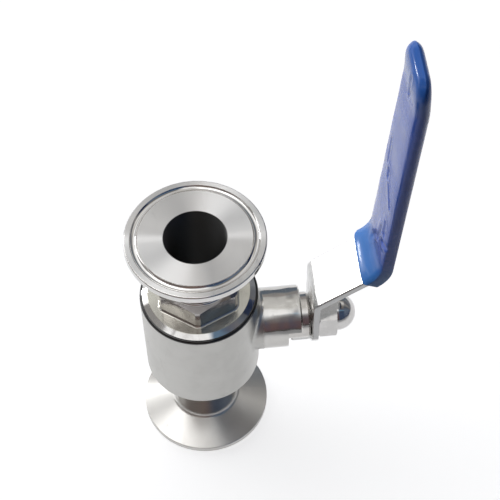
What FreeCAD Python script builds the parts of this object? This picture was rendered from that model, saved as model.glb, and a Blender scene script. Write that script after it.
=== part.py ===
import FreeCAD, Part
import math
import os
import re

import Sketcher

# Tri-clamp ball valve: a two-piece body with a floating ball and an upright lever.
# The part's frame has its origin at the centre of the lower ferrule's face, +Z along the flow
# and +X along the stem. The valve stands on its lower ferrule, open, with the lever straight up.
# Every sub-part is drawn about the ball's centre, and its Placement lifts it to the ball's height.

# Driving dimensions: name, value in millimetres or degrees, meaning.
SIZES = [
    ("lower_reach", 58.8, "the ball's centre above the lower ferrule's face"),
    ("upper_reach", 57.2, "the upper ferrule's face above the ball's centre"),
    ("bore_diameter", 22.4, "inside of the tube, ports and ball"),
    ("tube_wall", 1.5, "wall of the necks"),
    ("ferrule_diameter", 50.5, "outside of the clamp rim"),
    ("rim_thickness", 2.85, "straight edge of the clamp rim"),
    ("rim_drop", 0.25, "the rim's outer land lies this much behind the sealing land"),
    ("rim_back_angle", 20, "slope of the rim's back, which the clamp wedges on"),
    ("rim_front_round", 0.6, "rounded front edge of the rim"),
    ("rim_back_round", 0.3, "broken back edge of the rim"),
    ("groove_inset", 3.5, "from the rim's edge to the middle of the gasket groove"),
    ("groove_section_radius", 1.55, "round section of the gasket groove"),
    ("groove_depth", 1.0, "depth of the gasket groove"),
    ("neck_fillet", 1.8, "between the rim's back and the neck"),
    ("barrel_foot_fillet", 1.5, "between the lower neck and the barrel"),
    ("barrel_wall", 3.0, "outside the end cap's thread"),
    ("barrel_end_wall", 5.5, "from a seat's back to the end of the barrel"),
    ("barrel_edge_round", 1.0, "rounded edges of the barrel"),
    ("ball_land", 6.3, "from the bore to the ball's widest circle"),
    ("ball_bore_round", 0.5, "rounded mouth of the ball's bore"),
    ("ball_slot_width", 6.0, "slot that the stem's tang turns"),
    ("ball_slot_floor", 1.6, "metal left between the slot and the bore"),
    ("cavity_clearance", 0.4, "between the ball and the body's cavity"),
    ("seat_clearance", 0.05, "between the ball and a seat"),
    ("seat_bore_relief", 0.2, "a seat's hole is wider than the bore by this radius"),
    ("seat_lip", 2.8, "from the bore to the edge of the seat's round face"),
    ("seat_rim", 2.0, "flat front of a seat outside its round face"),
    ("seat_depth", 6.0, "a seat's full height"),
    ("seat_front_chamfer", 0.5, "outer edge of a seat's front"),
    ("seat_pocket_depth", 2.5, "recess that holds a seat"),
    ("seat_pocket_clearance", 0.1, "around a seat in its recess"),
    ("thread_height", 1.1, "the cap's thread stands outside the cavity by this much"),
    ("thread_clearance", 0.05, "between two threads drawn as plain cylinders"),
    ("body_seal_height", 1.0, "ring under the end cap's spigot"),
    ("body_seal_clearance", 0.05, "around the body seal"),
    ("flange_inset", 1.0, "the cap's flange is smaller than the barrel by this radius"),
    ("flange_land", 0.2, "straight edge under the flange's bevel"),
    ("flange_height", 1.35, "flange above the barrel"),
    ("flange_bevel", 2.05, "polished bevel of the flange, measured radially"),
    ("hex_land", 1.6, "from the neck to a flat of the cap's hexagon"),
    ("hex_height", 9.7, "height of the cap's hexagon"),
    ("hex_turn", -5, "the screwed-home hexagon's turn about the flow"),
    ("hex_corner_blunt", 0.5, "the round bar that it is milled from blunts the corners by this"),
    ("hex_top_land", 0.9, "flat top of the hexagon, from the neck to its chamfer"),
    ("hex_chamfer_angle", 27, "slope of the hexagon's chamfer"),
    ("hex_neck_fillet", 0.8, "between the hexagon's top and the neck"),
    ("hex_foot_fillet", 0.7, "between the hexagon and the flange"),
    ("stem_diameter", 10, "shank of the stem"),
    ("stem_clearance", 0.05, "around the shank, running fit"),
    ("stem_collar_width", 2.4, "the collar stands outside the shank by this much"),
    ("stem_collar_height", 1.9, "collar that stops the stem from blowing out"),
    ("stem_ball_gap", 0.1, "between the ball and the collar"),
    ("tang_clearance", 0.05, "on each side of the tang in its slot"),
    ("tang_floor_gap", 0.1, "under the tang"),
    ("collar_clearance", 0.4, "around the collar"),
    ("face_clearance", 0.05, "between faces that turn past each other"),
    ("thrust_washer_height", 1.0, "washer outside the collar"),
    ("stem_land", 3.0, "short bore that the shank runs in"),
    ("o_ring_section", 1.5, "thickness of the stem's O-ring"),
    ("o_ring_squeeze", 0.05, "the O-ring lies this far inside the bore"),
    ("o_ring_play", 0.2, "the O-ring's groove is longer than its section by this much"),
    ("packing_width", 2.4, "radial width of the packing"),
    ("packing_clearance", 0.05, "around the packing rings"),
    ("packing_base_height", 1.3, "bottom ring of the packing"),
    ("v_ring_pitch", 0.8, "height that each V ring adds"),
    ("v_ring_rise", 0.7, "depth of a V"),
    ("v_ring_gap", 0.02, "between two packing rings"),
    ("packing_top_height", 1.1, "top ring of the packing"),
    ("follower_height", 1.0, "ring between the packing and the gland nut"),
    ("gland_take_up", 0.35, "room left to tighten the gland nut"),
    ("gland_step", 1.35, "the gland nut's thread stands outside the packing by this much"),
    ("gland_grip", 3.1, "thread under the floor of the stop notch"),
    ("gland_stand_out", 3.3, "the gland nut's end beyond the boss"),
    ("gland_chamfer", 0.8, "outer edge of the gland nut"),
    ("gland_hole_diameter", 1.8, "two holes in the gland nut's end, for a pin spanner"),
    ("gland_hole_depth", 1.5, "depth of those holes"),
    ("stop_height", 5.55, "stop walls above the notch's floor"),
    ("stop_wall", 2.9, "thickness of the stop walls"),
    ("stop_clearance", 0.2, "between the stop tab and a wall at the end of its travel"),
    ("boss_fillet", 2.0, "between the boss and the barrel"),
    ("boss_chamfer", 0.6, "outer edge of the boss's end"),
    ("lever_gap", 0.3, "between the gland nut and the lever"),
    ("lever_thickness", 2.4, "sheet of the lever"),
    ("lever_width", 21, "width of the lever"),
    ("lever_bend_height", 20.0, "first bend above the stem's axis"),
    ("lever_slant_angle", 38.5, "slope of the slanted stretch above the horizontal"),
    ("lever_slant_reach", 23.8, "outward step of the slanted stretch"),
    ("grip_lean", 3.45, "the grip leans outwards by this angle"),
    ("lever_top", 136.5, "the metal lever's tip above the stem's axis"),
    ("lever_bend_radius", 2.0, "inside of the two bends"),
    ("lever_tip_round", 5.2, "corners of the metal tip"),
    ("lever_edge_round", 0.6, "rolled edges of the strip, on its face towards the body"),
    ("tab_width", 8.6, "width of the stop tab"),
    ("tab_clearance", 0.4, "between the gland nut and the stop tab"),
    ("tab_inset", 1.3, "the tab's inner face lies this far inside the lever's rounded foot"),
    ("tab_floor_gap", 1.95, "between the tab's tip and the notch's floor"),
    ("tab_bend_radius", 1.0, "inside of the tab's bend"),
    ("tab_corner_round", 0.9, "corners of the tab's tip"),
    ("sleeve_wall", 1.65, "vinyl over the lever's flat sides"),
    ("sleeve_side_wall", 1.8, "vinyl over the lever's edges and round its corners"),
    ("sleeve_start", 8.2, "the sleeve begins this far before the second bend"),
    ("sleeve_tip_wall", 2.6, "vinyl beyond the lever's tip"),
    ("sleeve_edge_round", 2.5, "rounded long edges"),
    ("sleeve_inner_bend", 12.0, "inside of the sleeve's bend"),
    ("sleeve_outer_bend", 7.5, "outside of the sleeve's bend"),
    ("nut_thread_diameter", 10, "thread of the stem's end"),
    ("stem_flat_inset", 1.5, "each of the stem's two flats lies this far inside the thread"),
    ("stem_end_gap", 1.5, "between the stem's end and the bottom of the nut's hole"),
    ("lock_washer_height", 0.5, "toothed washer under the nut"),
    ("lock_washer_rim", 3.3, "radial width of the washer"),
    ("lock_washer_tooth", 1.2, "depth of the gaps between its teeth"),
    ("lock_washer_gap_width", 1.3, "width of those gaps"),
    ("lock_washer_teeth", 10, "number of teeth"),
    ("nut_land", 3.0, "from the thread to a flat of the nut"),
    ("nut_hex_height", 7.0, "hexagon of the nut"),
    ("nut_hex_turn", 22.5, "the nut's turn about the stem"),
    ("nut_chamfer_land", 0.5, "the nut's chamfers start this far outside its flats"),
    ("nut_chamfer_angle", 30, "slope of the nut's chamfers"),
    ("dome_inset", 0.8, "the dome is inside the nut's flats by this much"),
    ("dome_skirt", 0.7, "straight foot of the dome"),
    ("nut_hole_wall", 4.0, "metal over the end of the nut's hole"),
]

# Dimensions worked out from the driving ones: name, formula, meaning.
FORMULAS = [
    ("bore_radius", "bore_diameter / 2", ""),
    ("neck_radius", "bore_radius + tube_wall", ""),
    ("rim_radius", "ferrule_diameter / 2", ""),
    ("groove_radius", "rim_radius - groove_inset", "middle of the gasket groove"),
    ("groove_centre_height", "groove_section_radius - groove_depth", "outside the sealing land"),
    ("rim_back_inset", "rim_drop + rim_thickness", "back of the rim's straight edge"),
    ("neck_inset", "rim_back_inset + (rim_radius - neck_radius) * tan(rim_back_angle)", ""),
    ("lower_land", "-(lower_reach - rim_drop)", "outer land of the lower ferrule"),
    ("lower_rim_back", "-(lower_reach - rim_back_inset)", ""),
    ("lower_neck_end", "-(lower_reach - neck_inset)", ""),
    ("lower_groove", "-(lower_reach + groove_centre_height)", "centre of the groove's section"),
    ("upper_land", "upper_reach - rim_drop", "outer land of the upper ferrule"),
    ("upper_rim_back", "upper_reach - rim_back_inset", ""),
    ("upper_neck_end", "upper_reach - neck_inset", ""),
    ("upper_groove", "upper_reach + groove_centre_height", "centre of the groove's section"),
    ("ball_radius", "bore_radius + ball_land", ""),
    ("ball_mouth", "sqrt(ball_radius ^ 2 - bore_radius ^ 2)", "half of the ball's bore length"),
    ("slot_floor", "bore_radius + ball_slot_floor", "bottom of the slot"),
    ("cavity_radius", "ball_radius + cavity_clearance", ""),
    ("seat_face_radius", "ball_radius + seat_clearance", "round face of the seats"),
    ("seat_bore_radius", "bore_radius + seat_bore_relief", ""),
    ("seat_lip_radius", "bore_radius + seat_lip", ""),
    ("seat_radius", "seat_lip_radius + seat_rim", ""),
    ("seat_front", "sqrt(seat_face_radius ^ 2 - seat_lip_radius ^ 2)", ""),
    ("seat_inner_front", "sqrt(seat_face_radius ^ 2 - seat_bore_radius ^ 2)", ""),
    ("seat_back", "seat_front + seat_depth", ""),
    ("seat_pocket_radius", "seat_radius + seat_pocket_clearance", ""),
    ("spigot_end", "seat_back - seat_pocket_depth", "inner end of the cap's spigot"),
    ("barrel_end", "seat_back + barrel_end_wall", "the barrel's half length"),
    ("thread_radius", "max(cavity_radius; seat_pocket_radius) + thread_height", "in the barrel"),
    ("spigot_radius", "thread_radius - thread_clearance", ""),
    ("thread_floor", "spigot_end - body_seal_height", ""),
    ("barrel_radius", "thread_radius + barrel_wall", ""),
    ("flange_radius", "barrel_radius - flange_inset", ""),
    ("flange_top", "barrel_end + flange_height", ""),
    ("flange_top_radius", "flange_radius - flange_bevel", ""),
    ("hex_flat_radius", "neck_radius + hex_land", "half across the flats"),
    ("hex_corner_radius", "hex_flat_radius / cos(30)", "half across the corners, if they were sharp"),
    ("hex_bar_radius", "hex_corner_radius - hex_corner_blunt", "half across the blunt corners"),
    ("hex_top", "flange_top + hex_height", ""),
    ("stem_radius", "stem_diameter / 2", ""),
    ("stem_bore_radius", "stem_radius + stem_clearance", ""),
    ("collar_radius", "stem_radius + stem_collar_width", ""),
    ("collar_start", "ball_radius + stem_ball_gap", ""),
    ("collar_end", "collar_start + stem_collar_height", ""),
    ("tang_start", "slot_floor + tang_floor_gap", ""),
    ("tang_half", "ball_slot_width / 2 - tang_clearance", ""),
    ("recess_radius", "collar_radius + collar_clearance", "room for collar and washer"),
    ("washer_start", "collar_end + face_clearance", ""),
    ("recess_floor", "washer_start + thrust_washer_height", ""),
    ("chamber_floor", "recess_floor + stem_land", "bottom of the packing chamber"),
    ("o_ring_centre", "recess_floor + stem_land / 2", ""),
    ("o_ring_outer", "stem_bore_radius - o_ring_squeeze", ""),
    ("o_ring_radius", "o_ring_outer - o_ring_section / 2", "of the O-ring's round axis"),
    ("o_ring_groove_radius", "o_ring_outer - o_ring_section - face_clearance", ""),
    ("o_ring_groove_half", "(o_ring_section + o_ring_play) / 2", ""),
    ("packing_inner_radius", "stem_radius + packing_clearance", ""),
    ("chamber_radius", "stem_radius + packing_width + packing_clearance", ""),
    ("packing_radius", "chamber_radius - packing_clearance", ""),
    ("packing_middle", "(packing_inner_radius + packing_radius) / 2", "ridge of the Vs"),
    ("v_rings_start", "chamber_floor + packing_base_height", ""),
    ("packing_top_start", "v_rings_start + 3 * v_ring_pitch", ""),
    ("follower_start", "packing_top_start + packing_top_height", ""),
    ("gland_start", "follower_start + follower_height", ""),
    ("gland_thread_floor", "gland_start - gland_take_up", ""),
    ("gland_radius", "chamber_radius + gland_step", ""),
    ("gland_bore_radius", "gland_radius + thread_clearance", "thread in the boss"),
    ("gland_hole_pitch", "(stem_bore_radius + gland_radius - gland_chamfer) / 2", "from the axis"),
    ("notch_floor", "gland_start + gland_grip", ""),
    ("boss_end", "notch_floor + stop_height", ""),
    ("boss_radius", "gland_bore_radius + stop_wall", ""),
    ("gland_end", "boss_end + gland_stand_out", ""),
    ("lever_face", "gland_end + lever_gap", "the lever's face towards the body"),
    ("lever_back", "lever_face + lever_thickness", ""),
    ("lever_half_width", "lever_width / 2", ""),
    ("tab_half_width", "tab_width / 2", ""),
    ("stop_plane", "tab_half_width + stop_clearance", "both stop walls, from the axis"),
    ("tab_inner", "max(gland_radius + tab_clearance; lever_half_width - tab_inset)", "inner face"),
    ("tab_outer", "tab_inner + lever_thickness", ""),
    ("tab_tip", "notch_floor + tab_floor_gap", ""),
    ("first_turn", "90 - lever_slant_angle", "angle of the first bend"),
    ("second_turn", "90 - lever_slant_angle - grip_lean", "angle of the second bend"),
    ("slant_top_x", "lever_face + lever_slant_reach", "second bend, inner face"),
    ("slant_top_z", "lever_bend_height + lever_slant_reach * tan(lever_slant_angle)", ""),
    ("grip_top_x", "slant_top_x + (lever_top - slant_top_z) * tan(grip_lean)", ""),
    ("miter_x", "sin(lever_slant_angle) + cos(lever_slant_angle) * tan(second_turn / 2)", ""),
    ("miter_z", "sin(lever_slant_angle) * tan(second_turn / 2) - cos(lever_slant_angle)", ""),
    ("sleeve_back_wall", "lever_thickness + sleeve_wall", "from the lever's inner face"),
    ("sleeve_top", "lever_top + sleeve_tip_wall", ""),
    ("sleeve_top_x", "grip_top_x + sleeve_tip_wall * tan(grip_lean)", ""),
    ("sleeve_half_width", "lever_half_width + sleeve_side_wall", ""),
    ("sleeve_tip_round", "lever_tip_round + sleeve_side_wall", "corners of the tip, an even coat"),
    ("sleeve_foot_x", "slant_top_x - sleeve_start * cos(lever_slant_angle)", ""),
    ("sleeve_foot_z", "slant_top_z - sleeve_start * sin(lever_slant_angle)", ""),
    ("nut_thread_radius", "nut_thread_diameter / 2", ""),
    ("stem_end_radius", "nut_thread_radius - thread_clearance", ""),
    ("flat_half", "nut_thread_radius - stem_flat_inset", "half across the stem's flats"),
    ("hole_round", "stem_end_radius + thread_clearance", "round sides of the lever's hole"),
    ("hole_flat", "flat_half + thread_clearance", "flat sides of the lever's hole"),
    ("nut_start", "lever_back + lock_washer_height", ""),
    ("washer_radius", "nut_thread_radius + lock_washer_rim", ""),
    ("nut_flat_radius", "nut_thread_radius + nut_land", "half across the nut's flats"),
    ("nut_corner_radius", "nut_flat_radius / cos(30)", ""),
    ("dome_radius", "nut_flat_radius - dome_inset", ""),
    ("dome_foot", "nut_hex_height + dome_skirt", "start of the round dome"),
    ("nut_height", "dome_foot + dome_radius", ""),
    ("nut_hole_end", "nut_height - nut_hole_wall", ""),
    ("stem_end", "nut_start + nut_hole_end - stem_end_gap", ""),
]

XY, XZ, YZ = "XY_Plane", "XZ_Plane", "YZ_Plane"
TOUCH = 1e-4  # how near two sizes count as the same, for finding edges
OVERSHOOT = 1  # how far a cut runs past the surface that it leaves through

document = FreeCAD.newDocument("tri_clamp_ball_valve")
sheet = document.addObject("Spreadsheet::Sheet", "Sizes")
for row, (name, size, meaning) in enumerate(SIZES, start=1):
    sheet.set(f"A{row}", name)
    sheet.set(f"B{row}", str(size))
    sheet.set(f"C{row}", meaning)
    sheet.setAlias(f"B{row}", name)
for row, (name, formula, meaning) in enumerate(FORMULAS, start=len(SIZES) + 1):
    sheet.set(f"A{row}", name)
    sheet.set(f"B{row}", "=" + formula)
    sheet.set(f"C{row}", meaning)
    sheet.setAlias(f"B{row}", name)
document.recompute()

NAMES = {name for name, _, _ in SIZES + FORMULAS}


def bound(formula):
    """The formula with each name of the sheet written as an expression's reference."""
    return re.sub(r"[a-z][a-z_]*", lambda w: f"Sizes.{w[0]}" if w[0] in NAMES else w[0], str(formula))


def size_of(formula):
    """The formula's value now."""
    return float(sheet.evalExpression(bound(formula)))


def bind(thing, **properties):
    """Bind properties of a feature to formulas of the sheet."""
    for name, formula in properties.items():
        thing.setExpression(name, bound(formula))


# Sub-parts and sketches

subparts = []


def seat(thing, label, along_stem="0", along_flow="0"):
    """Give a sub-part its label and its place from the ball's centre, and keep it for export."""
    thing.Label = label
    thing.setExpression("Placement.Base.x", bound(along_stem))
    thing.setExpression("Placement.Base.z", bound(f"lower_reach + ({along_flow})"))
    subparts.append(thing)
    return thing


def new_body(label, along_stem="0", along_flow="0"):
    return seat(document.addObject("PartDesign::Body", label), label, along_stem, along_flow)


def sketch_on(body, name, role, offset="0"):
    """A sketch on one of the body's own planes, moved along the plane's normal by offset."""
    sketch = body.newObject("Sketcher::SketchObject", f"{body.Name}_{name}")
    plane = next(feature for feature in body.Origin.OriginFeatures if feature.Role == role)
    sketch.AttachmentSupport = [(plane, "")]
    sketch.MapMode = "FlatFace"
    sketch.setExpression("AttachmentOffset.Base.z", bound(offset))
    return sketch


def pin_point(sketch, edge, end, place, tag):
    """Hold a point of an edge at two formulas; None leaves that direction free."""
    for kind, formula in zip(("DistanceX", "DistanceY"), place):
        if formula is None:
            continue
        number = sketch.addConstraint(Sketcher.Constraint(kind, -1, 1, edge, end, size_of(formula)))
        sketch.renameConstraint(number, f"{tag}_{kind}")
        sketch.setExpression(f"Constraints.{tag}_{kind}", bound(formula))


def arc_centre(start, end, given):
    """The point as far from start as from end, with one of its coordinates given."""
    across, up = end[0] - start[0], end[1] - start[1]
    level = (end[0] ** 2 + end[1] ** 2 - start[0] ** 2 - start[1] ** 2) / 2
    if given[0] is None:
        y = size_of(given[1])
        return (level - up * y) / across, y
    x = size_of(given[0])
    return x, (level - across * x) / up


def outline(sketch, corners):
    """A closed outline. Each corner is (across, up), and a third entry makes the way to the next
    corner an arc: (its centre with one coordinate left as None, "left" or "right" for its turn)."""
    places = [(size_of(corner[0]), size_of(corner[1])) for corner in corners]
    first = sketch.GeometryCount
    count = len(corners)
    starts, ends = [], []
    for index, corner in enumerate(corners):
        start, end = places[index], places[(index + 1) % count]
        if len(corner) == 2:
            line = Part.LineSegment(FreeCAD.Vector(*start, 0), FreeCAD.Vector(*end, 0))
            sketch.addGeometry(line, False)
            starts.append(1)
            ends.append(2)
            continue
        given, turn = corner[2]
        centre = arc_centre(start, end, given)
        radius = math.hypot(start[0] - centre[0], start[1] - centre[1])
        angles = [math.atan2(p[1] - centre[1], p[0] - centre[0]) for p in (start, end)]
        if turn == "right":
            angles.reverse()
        if angles[1] < angles[0]:
            angles[1] += 2 * math.pi
        circle = Part.Circle(FreeCAD.Vector(*centre, 0), FreeCAD.Vector(0, 0, 1), radius)
        sketch.addGeometry(Part.ArcOfCircle(circle, *angles), False)
        starts.append(1 if turn == "left" else 2)
        ends.append(2 if turn == "left" else 1)
    for index, corner in enumerate(corners):
        following = (index + 1) % count
        joint = (first + index, ends[index], first + following, starts[following])
        sketch.addConstraint(Sketcher.Constraint("Coincident", *joint))
        pin_point(sketch, first + index, starts[index], corner[:2], f"corner_{first + index}")
        if len(corner) == 3:
            pin_point(sketch, first + index, 3, corner[2][0], f"centre_{first + index}")


def rectangle(sketch, left, right, low, high):
    outline(sketch, [(left, low), (right, low), (right, high), (left, high)])


def circle(sketch, across, up, radius):
    centre = FreeCAD.Vector(size_of(across), size_of(up), 0)
    edge = sketch.addGeometry(Part.Circle(centre, FreeCAD.Vector(0, 0, 1), size_of(radius)), False)
    pin_point(sketch, edge, 3, (across, up), f"centre_{edge}")
    number = sketch.addConstraint(Sketcher.Constraint("Radius", edge, size_of(radius)))
    sketch.renameConstraint(number, f"radius_{edge}")
    sketch.setExpression(f"Constraints.radius_{edge}", bound(radius))


def hexagon(sketch, corner_radius, turn):
    """A regular hexagon about the sketch's origin, with a corner at the given turn."""
    angles = [f"({turn} + {60 * corner})" for corner in range(6)]
    outline(sketch, [(f"{corner_radius} * cos{a}", f"{corner_radius} * sin{a}") for a in angles])


# Features

def turned(body, kind, name, corners, axis="V_Axis"):
    """Revolve an outline about the flow (V_Axis) or the stem (H_Axis), to add or to cut."""
    sketch = sketch_on(body, f"{name}_outline", XZ)
    outline(sketch, corners)
    return spun(body, kind, name, sketch, axis)


def spun(body, kind, name, sketch, axis="V_Axis"):
    feature = body.newObject(f"PartDesign::{kind}", f"{body.Name}_{name}")
    feature.Profile = sketch
    feature.ReferenceAxis = (sketch, [axis])
    feature.Angle = 360
    document.recompute()
    return feature


def padded(body, name, sketch, length, both_ways=False):
    pad = body.newObject("PartDesign::Pad", f"{body.Name}_{name}")
    pad.Profile = sketch
    pad.Midplane = both_ways
    bind(pad, Length=length)
    document.recompute()
    return pad


def pocketed(body, name, sketch, depth, both_ways=False):
    """Cut a sketch into the body, against the sketch's normal or both ways."""
    pocket = body.newObject("PartDesign::Pocket", f"{body.Name}_{name}")
    pocket.Profile = sketch
    pocket.Midplane = both_ways
    bind(pocket, Length=depth)
    document.recompute()
    return pocket


def dressed(body, kind, name, wanted, size):
    """Fillet or chamfer the edges that pass a test."""
    before = body.Tip
    names = [f"Edge{n}" for n, edge in enumerate(before.Shape.Edges, start=1) if wanted(edge)]
    if not names:
        raise RuntimeError(f"{body.Label}: no edge found for {name}")
    feature = body.newObject(f"PartDesign::{kind}", f"{body.Name}_{name}")
    feature.Base = (before, names)
    bind(feature, **{"Radius" if kind == "Fillet" else "Size": size})
    document.recompute()
    return feature


def ring(radius, place, axis="z"):
    """A test for the round edges of a radius at a place along the flow (z) or the stem (x)."""
    wanted_radius, wanted_place = size_of(radius), size_of(place)

    def test(edge):
        if not isinstance(edge.Curve, Part.Circle):
            return False
        centre = getattr(edge.Curve.Center, axis)
        along = abs(getattr(edge.Curve.Axis, axis))
        same = abs(edge.Curve.Radius - wanted_radius) < TOUCH and abs(centre - wanted_place) < TOUCH
        return same and along > 1 - TOUCH

    return test


def crossing(x, z):
    """A test for the straight edges along Y that pass through (x, z)."""
    wanted = (size_of(x), size_of(z))

    def test(edge):
        ends = [vertex.Point for vertex in edge.Vertexes]
        if len(ends) != 2 or abs(ends[0].y - ends[1].y) < TOUCH:
            return False
        return all(math.hypot(p.x - wanted[0], p.z - wanted[1]) < TOUCH for p in ends)

    return test


def any_of(*tests):
    return lambda edge: any(test(edge) for test in tests)


def ferrule_rounds(body, side):
    """Round the rim's two edges and fillet its back into the neck; side is upper or lower."""
    dressed(body, "Fillet", "rim_front", ring("rim_radius", f"{side}_land"), "rim_front_round")
    dressed(body, "Fillet", "rim_back", ring("rim_radius", f"{side}_rim_back"), "rim_back_round")
    dressed(body, "Fillet", "neck_fillet", ring("neck_radius", f"{side}_neck_end"), "neck_fillet")


def gasket_groove(body, side):
    sketch = sketch_on(body, "gasket_groove_outline", XZ)
    circle(sketch, "groove_radius", f"{side}_groove", "groove_section_radius")
    spun(body, "Groove", "gasket_groove", sketch)


# Body: barrel, lower neck and ferrule, and the stem's boss

def make_body():
    body = new_body("body")
    turned(body, "Revolution", "turned_outside", [
        ("0", "-lower_reach"),
        ("groove_radius", "-lower_reach"),
        ("groove_radius", "lower_land"),
        ("rim_radius", "lower_land"),
        ("rim_radius", "lower_rim_back"),
        ("neck_radius", "lower_neck_end"),
        ("neck_radius", "-barrel_end"),
        ("barrel_radius", "-barrel_end"),
        ("barrel_radius", "barrel_end"),
        ("0", "barrel_end"),
    ])
    boss = sketch_on(body, "boss_outline", YZ)
    circle(boss, "0", "0", "boss_radius")
    padded(body, "boss", boss, "boss_end")
    dressed(body, "Chamfer", "boss_chamfer", ring("boss_radius", "boss_end", "x"), "boss_chamfer")
    dressed(body, "Fillet", "boss_fillet", where_boss_meets_barrel, "boss_fillet")
    barrel_edges = any_of(ring("barrel_radius", "barrel_end"), ring("barrel_radius", "-barrel_end"))
    dressed(body, "Fillet", "barrel_edges", barrel_edges, "barrel_edge_round")
    dressed(body, "Fillet", "barrel_foot", ring("neck_radius", "-barrel_end"), "barrel_foot_fillet")
    ferrule_rounds(body, "lower")
    turned(body, "Groove", "bore_and_cavity", [
        ("0", "-lower_reach"),
        ("bore_radius", "-lower_reach"),
        ("bore_radius", "-seat_back"),
        ("seat_pocket_radius", "-seat_back"),
        ("seat_pocket_radius", "-spigot_end"),
        ("cavity_radius", "-spigot_end"),
        ("cavity_radius", "thread_floor"),
        ("thread_radius", "thread_floor"),
        ("thread_radius", "barrel_end"),
        ("0", "barrel_end"),
    ])
    gasket_groove(body, "lower")
    turned(body, "Groove", "stem_passage", [
        ("0", "0"),
        ("boss_end", "0"),
        ("boss_end", "gland_bore_radius"),
        ("gland_thread_floor", "gland_bore_radius"),
        ("gland_thread_floor", "chamber_radius"),
        ("chamber_floor", "chamber_radius"),
        ("chamber_floor", "stem_bore_radius"),
        ("recess_floor", "stem_bore_radius"),
        ("recess_floor", "recess_radius"),
        ("0", "recess_radius"),
    ], "H_Axis")
    notch = sketch_on(body, "stop_notch_outline", YZ, "boss_end")
    outer = f"-(boss_radius + {OVERSHOOT})"
    rectangle(notch, outer, "stop_plane", outer, "stop_plane")
    pocketed(body, "stop_notch", notch, "stop_height")


def where_boss_meets_barrel(edge):
    """True for the seam between the boss's cylinder and the barrel's."""
    middle = edge.valueAt((edge.FirstParameter + edge.LastParameter) / 2)
    on_barrel = abs(math.hypot(middle.x, middle.y) - size_of("barrel_radius")) < TOUCH
    on_boss = abs(math.hypot(middle.y, middle.z) - size_of("boss_radius")) < TOUCH
    return on_barrel and on_boss and middle.x > 0


# End cap: spigot, flange, hexagon, upper neck and ferrule

def make_end_cap():
    body = new_body("end_cap")
    turned(body, "Revolution", "turned_outside", [
        ("0", "spigot_end"),
        ("spigot_radius", "spigot_end"),
        ("spigot_radius", "barrel_end"),
        ("flange_radius", "barrel_end"),
        ("flange_radius", "barrel_end + flange_land"),
        ("flange_top_radius", "flange_top"),
        ("neck_radius", "flange_top"),
        ("neck_radius", "upper_neck_end"),
        ("rim_radius", "upper_rim_back"),
        ("rim_radius", "upper_land"),
        ("groove_radius", "upper_land"),
        ("groove_radius", "upper_reach"),
        ("0", "upper_reach"),
    ])
    hexagon_sketch = sketch_on(body, "hexagon_outline", XY, "flange_top")
    hexagon(hexagon_sketch, "hex_corner_radius", "30 + hex_turn")
    padded(body, "hexagon", hexagon_sketch, "hex_height")
    outside = f"(hex_corner_radius + {OVERSHOOT})"
    turned(body, "Groove", "blunt_corners", [
        ("hex_bar_radius", "flange_top"),
        (outside, "flange_top"),
        (outside, "hex_top"),
        ("hex_bar_radius", "hex_top"),
    ])
    dressed(body, "Fillet", "hexagon_foot", hexagon_foot, "hex_foot_fillet")
    chamfer_start = "(neck_radius + hex_top_land)"
    turned(body, "Groove", "hexagon_chamfer", [
        (chamfer_start, "hex_top"),
        (outside, f"hex_top - ({outside} - {chamfer_start}) * tan(hex_chamfer_angle)"),
        (outside, "hex_top"),
    ])
    dressed(body, "Fillet", "hexagon_neck", ring("neck_radius", "hex_top"), "hex_neck_fillet")
    ferrule_rounds(body, "upper")
    turned(body, "Groove", "bore", [
        ("0", "spigot_end"),
        ("seat_pocket_radius", "spigot_end"),
        ("seat_pocket_radius", "seat_back"),
        ("bore_radius", "seat_back"),
        ("bore_radius", "upper_reach"),
        ("0", "upper_reach"),
    ])
    gasket_groove(body, "upper")


def hexagon_foot(edge):
    """True for the edges where the hexagon stands on the flange: six flats and six blunt corners."""
    ends = [vertex.Point for vertex in edge.Vertexes]
    reach = size_of("hex_bar_radius")
    at_foot = all(abs(p.z - size_of("flange_top")) < TOUCH for p in ends)
    return at_foot and all(abs(math.hypot(p.x, p.y) - reach) < TOUCH for p in ends)


def make_body_seal():
    body = new_body("body_seal")
    inner, outer = "(cavity_radius + body_seal_clearance)", "(thread_radius - body_seal_clearance)"
    turned(body, "Revolution", "ring", [
        (inner, "thread_floor"), (outer, "thread_floor"), (outer, "spigot_end"), (inner, "spigot_end"),
    ])


# Ball and seats

def make_ball():
    body = new_body("ball")
    turned(body, "Revolution", "sphere_with_bore", [
        ("bore_radius", "-ball_mouth", (("0", None), "left")),
        ("bore_radius", "ball_mouth"),
    ])
    mouths = any_of(ring("bore_radius", "ball_mouth"), ring("bore_radius", "-ball_mouth"))
    dressed(body, "Fillet", "bore_mouths", mouths, "ball_bore_round")
    slot = sketch_on(body, "slot_outline", XZ)
    rectangle(slot, "slot_floor", f"ball_radius + {OVERSHOOT}", "-ball_slot_width / 2",
              "ball_slot_width / 2")
    pocketed(body, "slot", slot, f"2 * (ball_radius + {OVERSHOOT})", both_ways=True)


def make_seat(label, side):
    """A seat ring, drawn for the upper side and turned over for the lower one (side -1)."""
    body = new_body(label)
    if side < 0:
        body.Placement.Rotation = FreeCAD.Rotation(FreeCAD.Vector(1, 0, 0), 180)
    turned(body, "Revolution", "ring", [
        ("seat_lip_radius", "seat_front"),
        ("seat_radius - seat_front_chamfer", "seat_front"),
        ("seat_radius", "seat_front + seat_front_chamfer"),
        ("seat_radius", "seat_back"),
        ("seat_bore_radius", "seat_back"),
        ("seat_bore_radius", "seat_inner_front", (("0", None), "right")),
    ])


# Stem with what seals it

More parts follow.
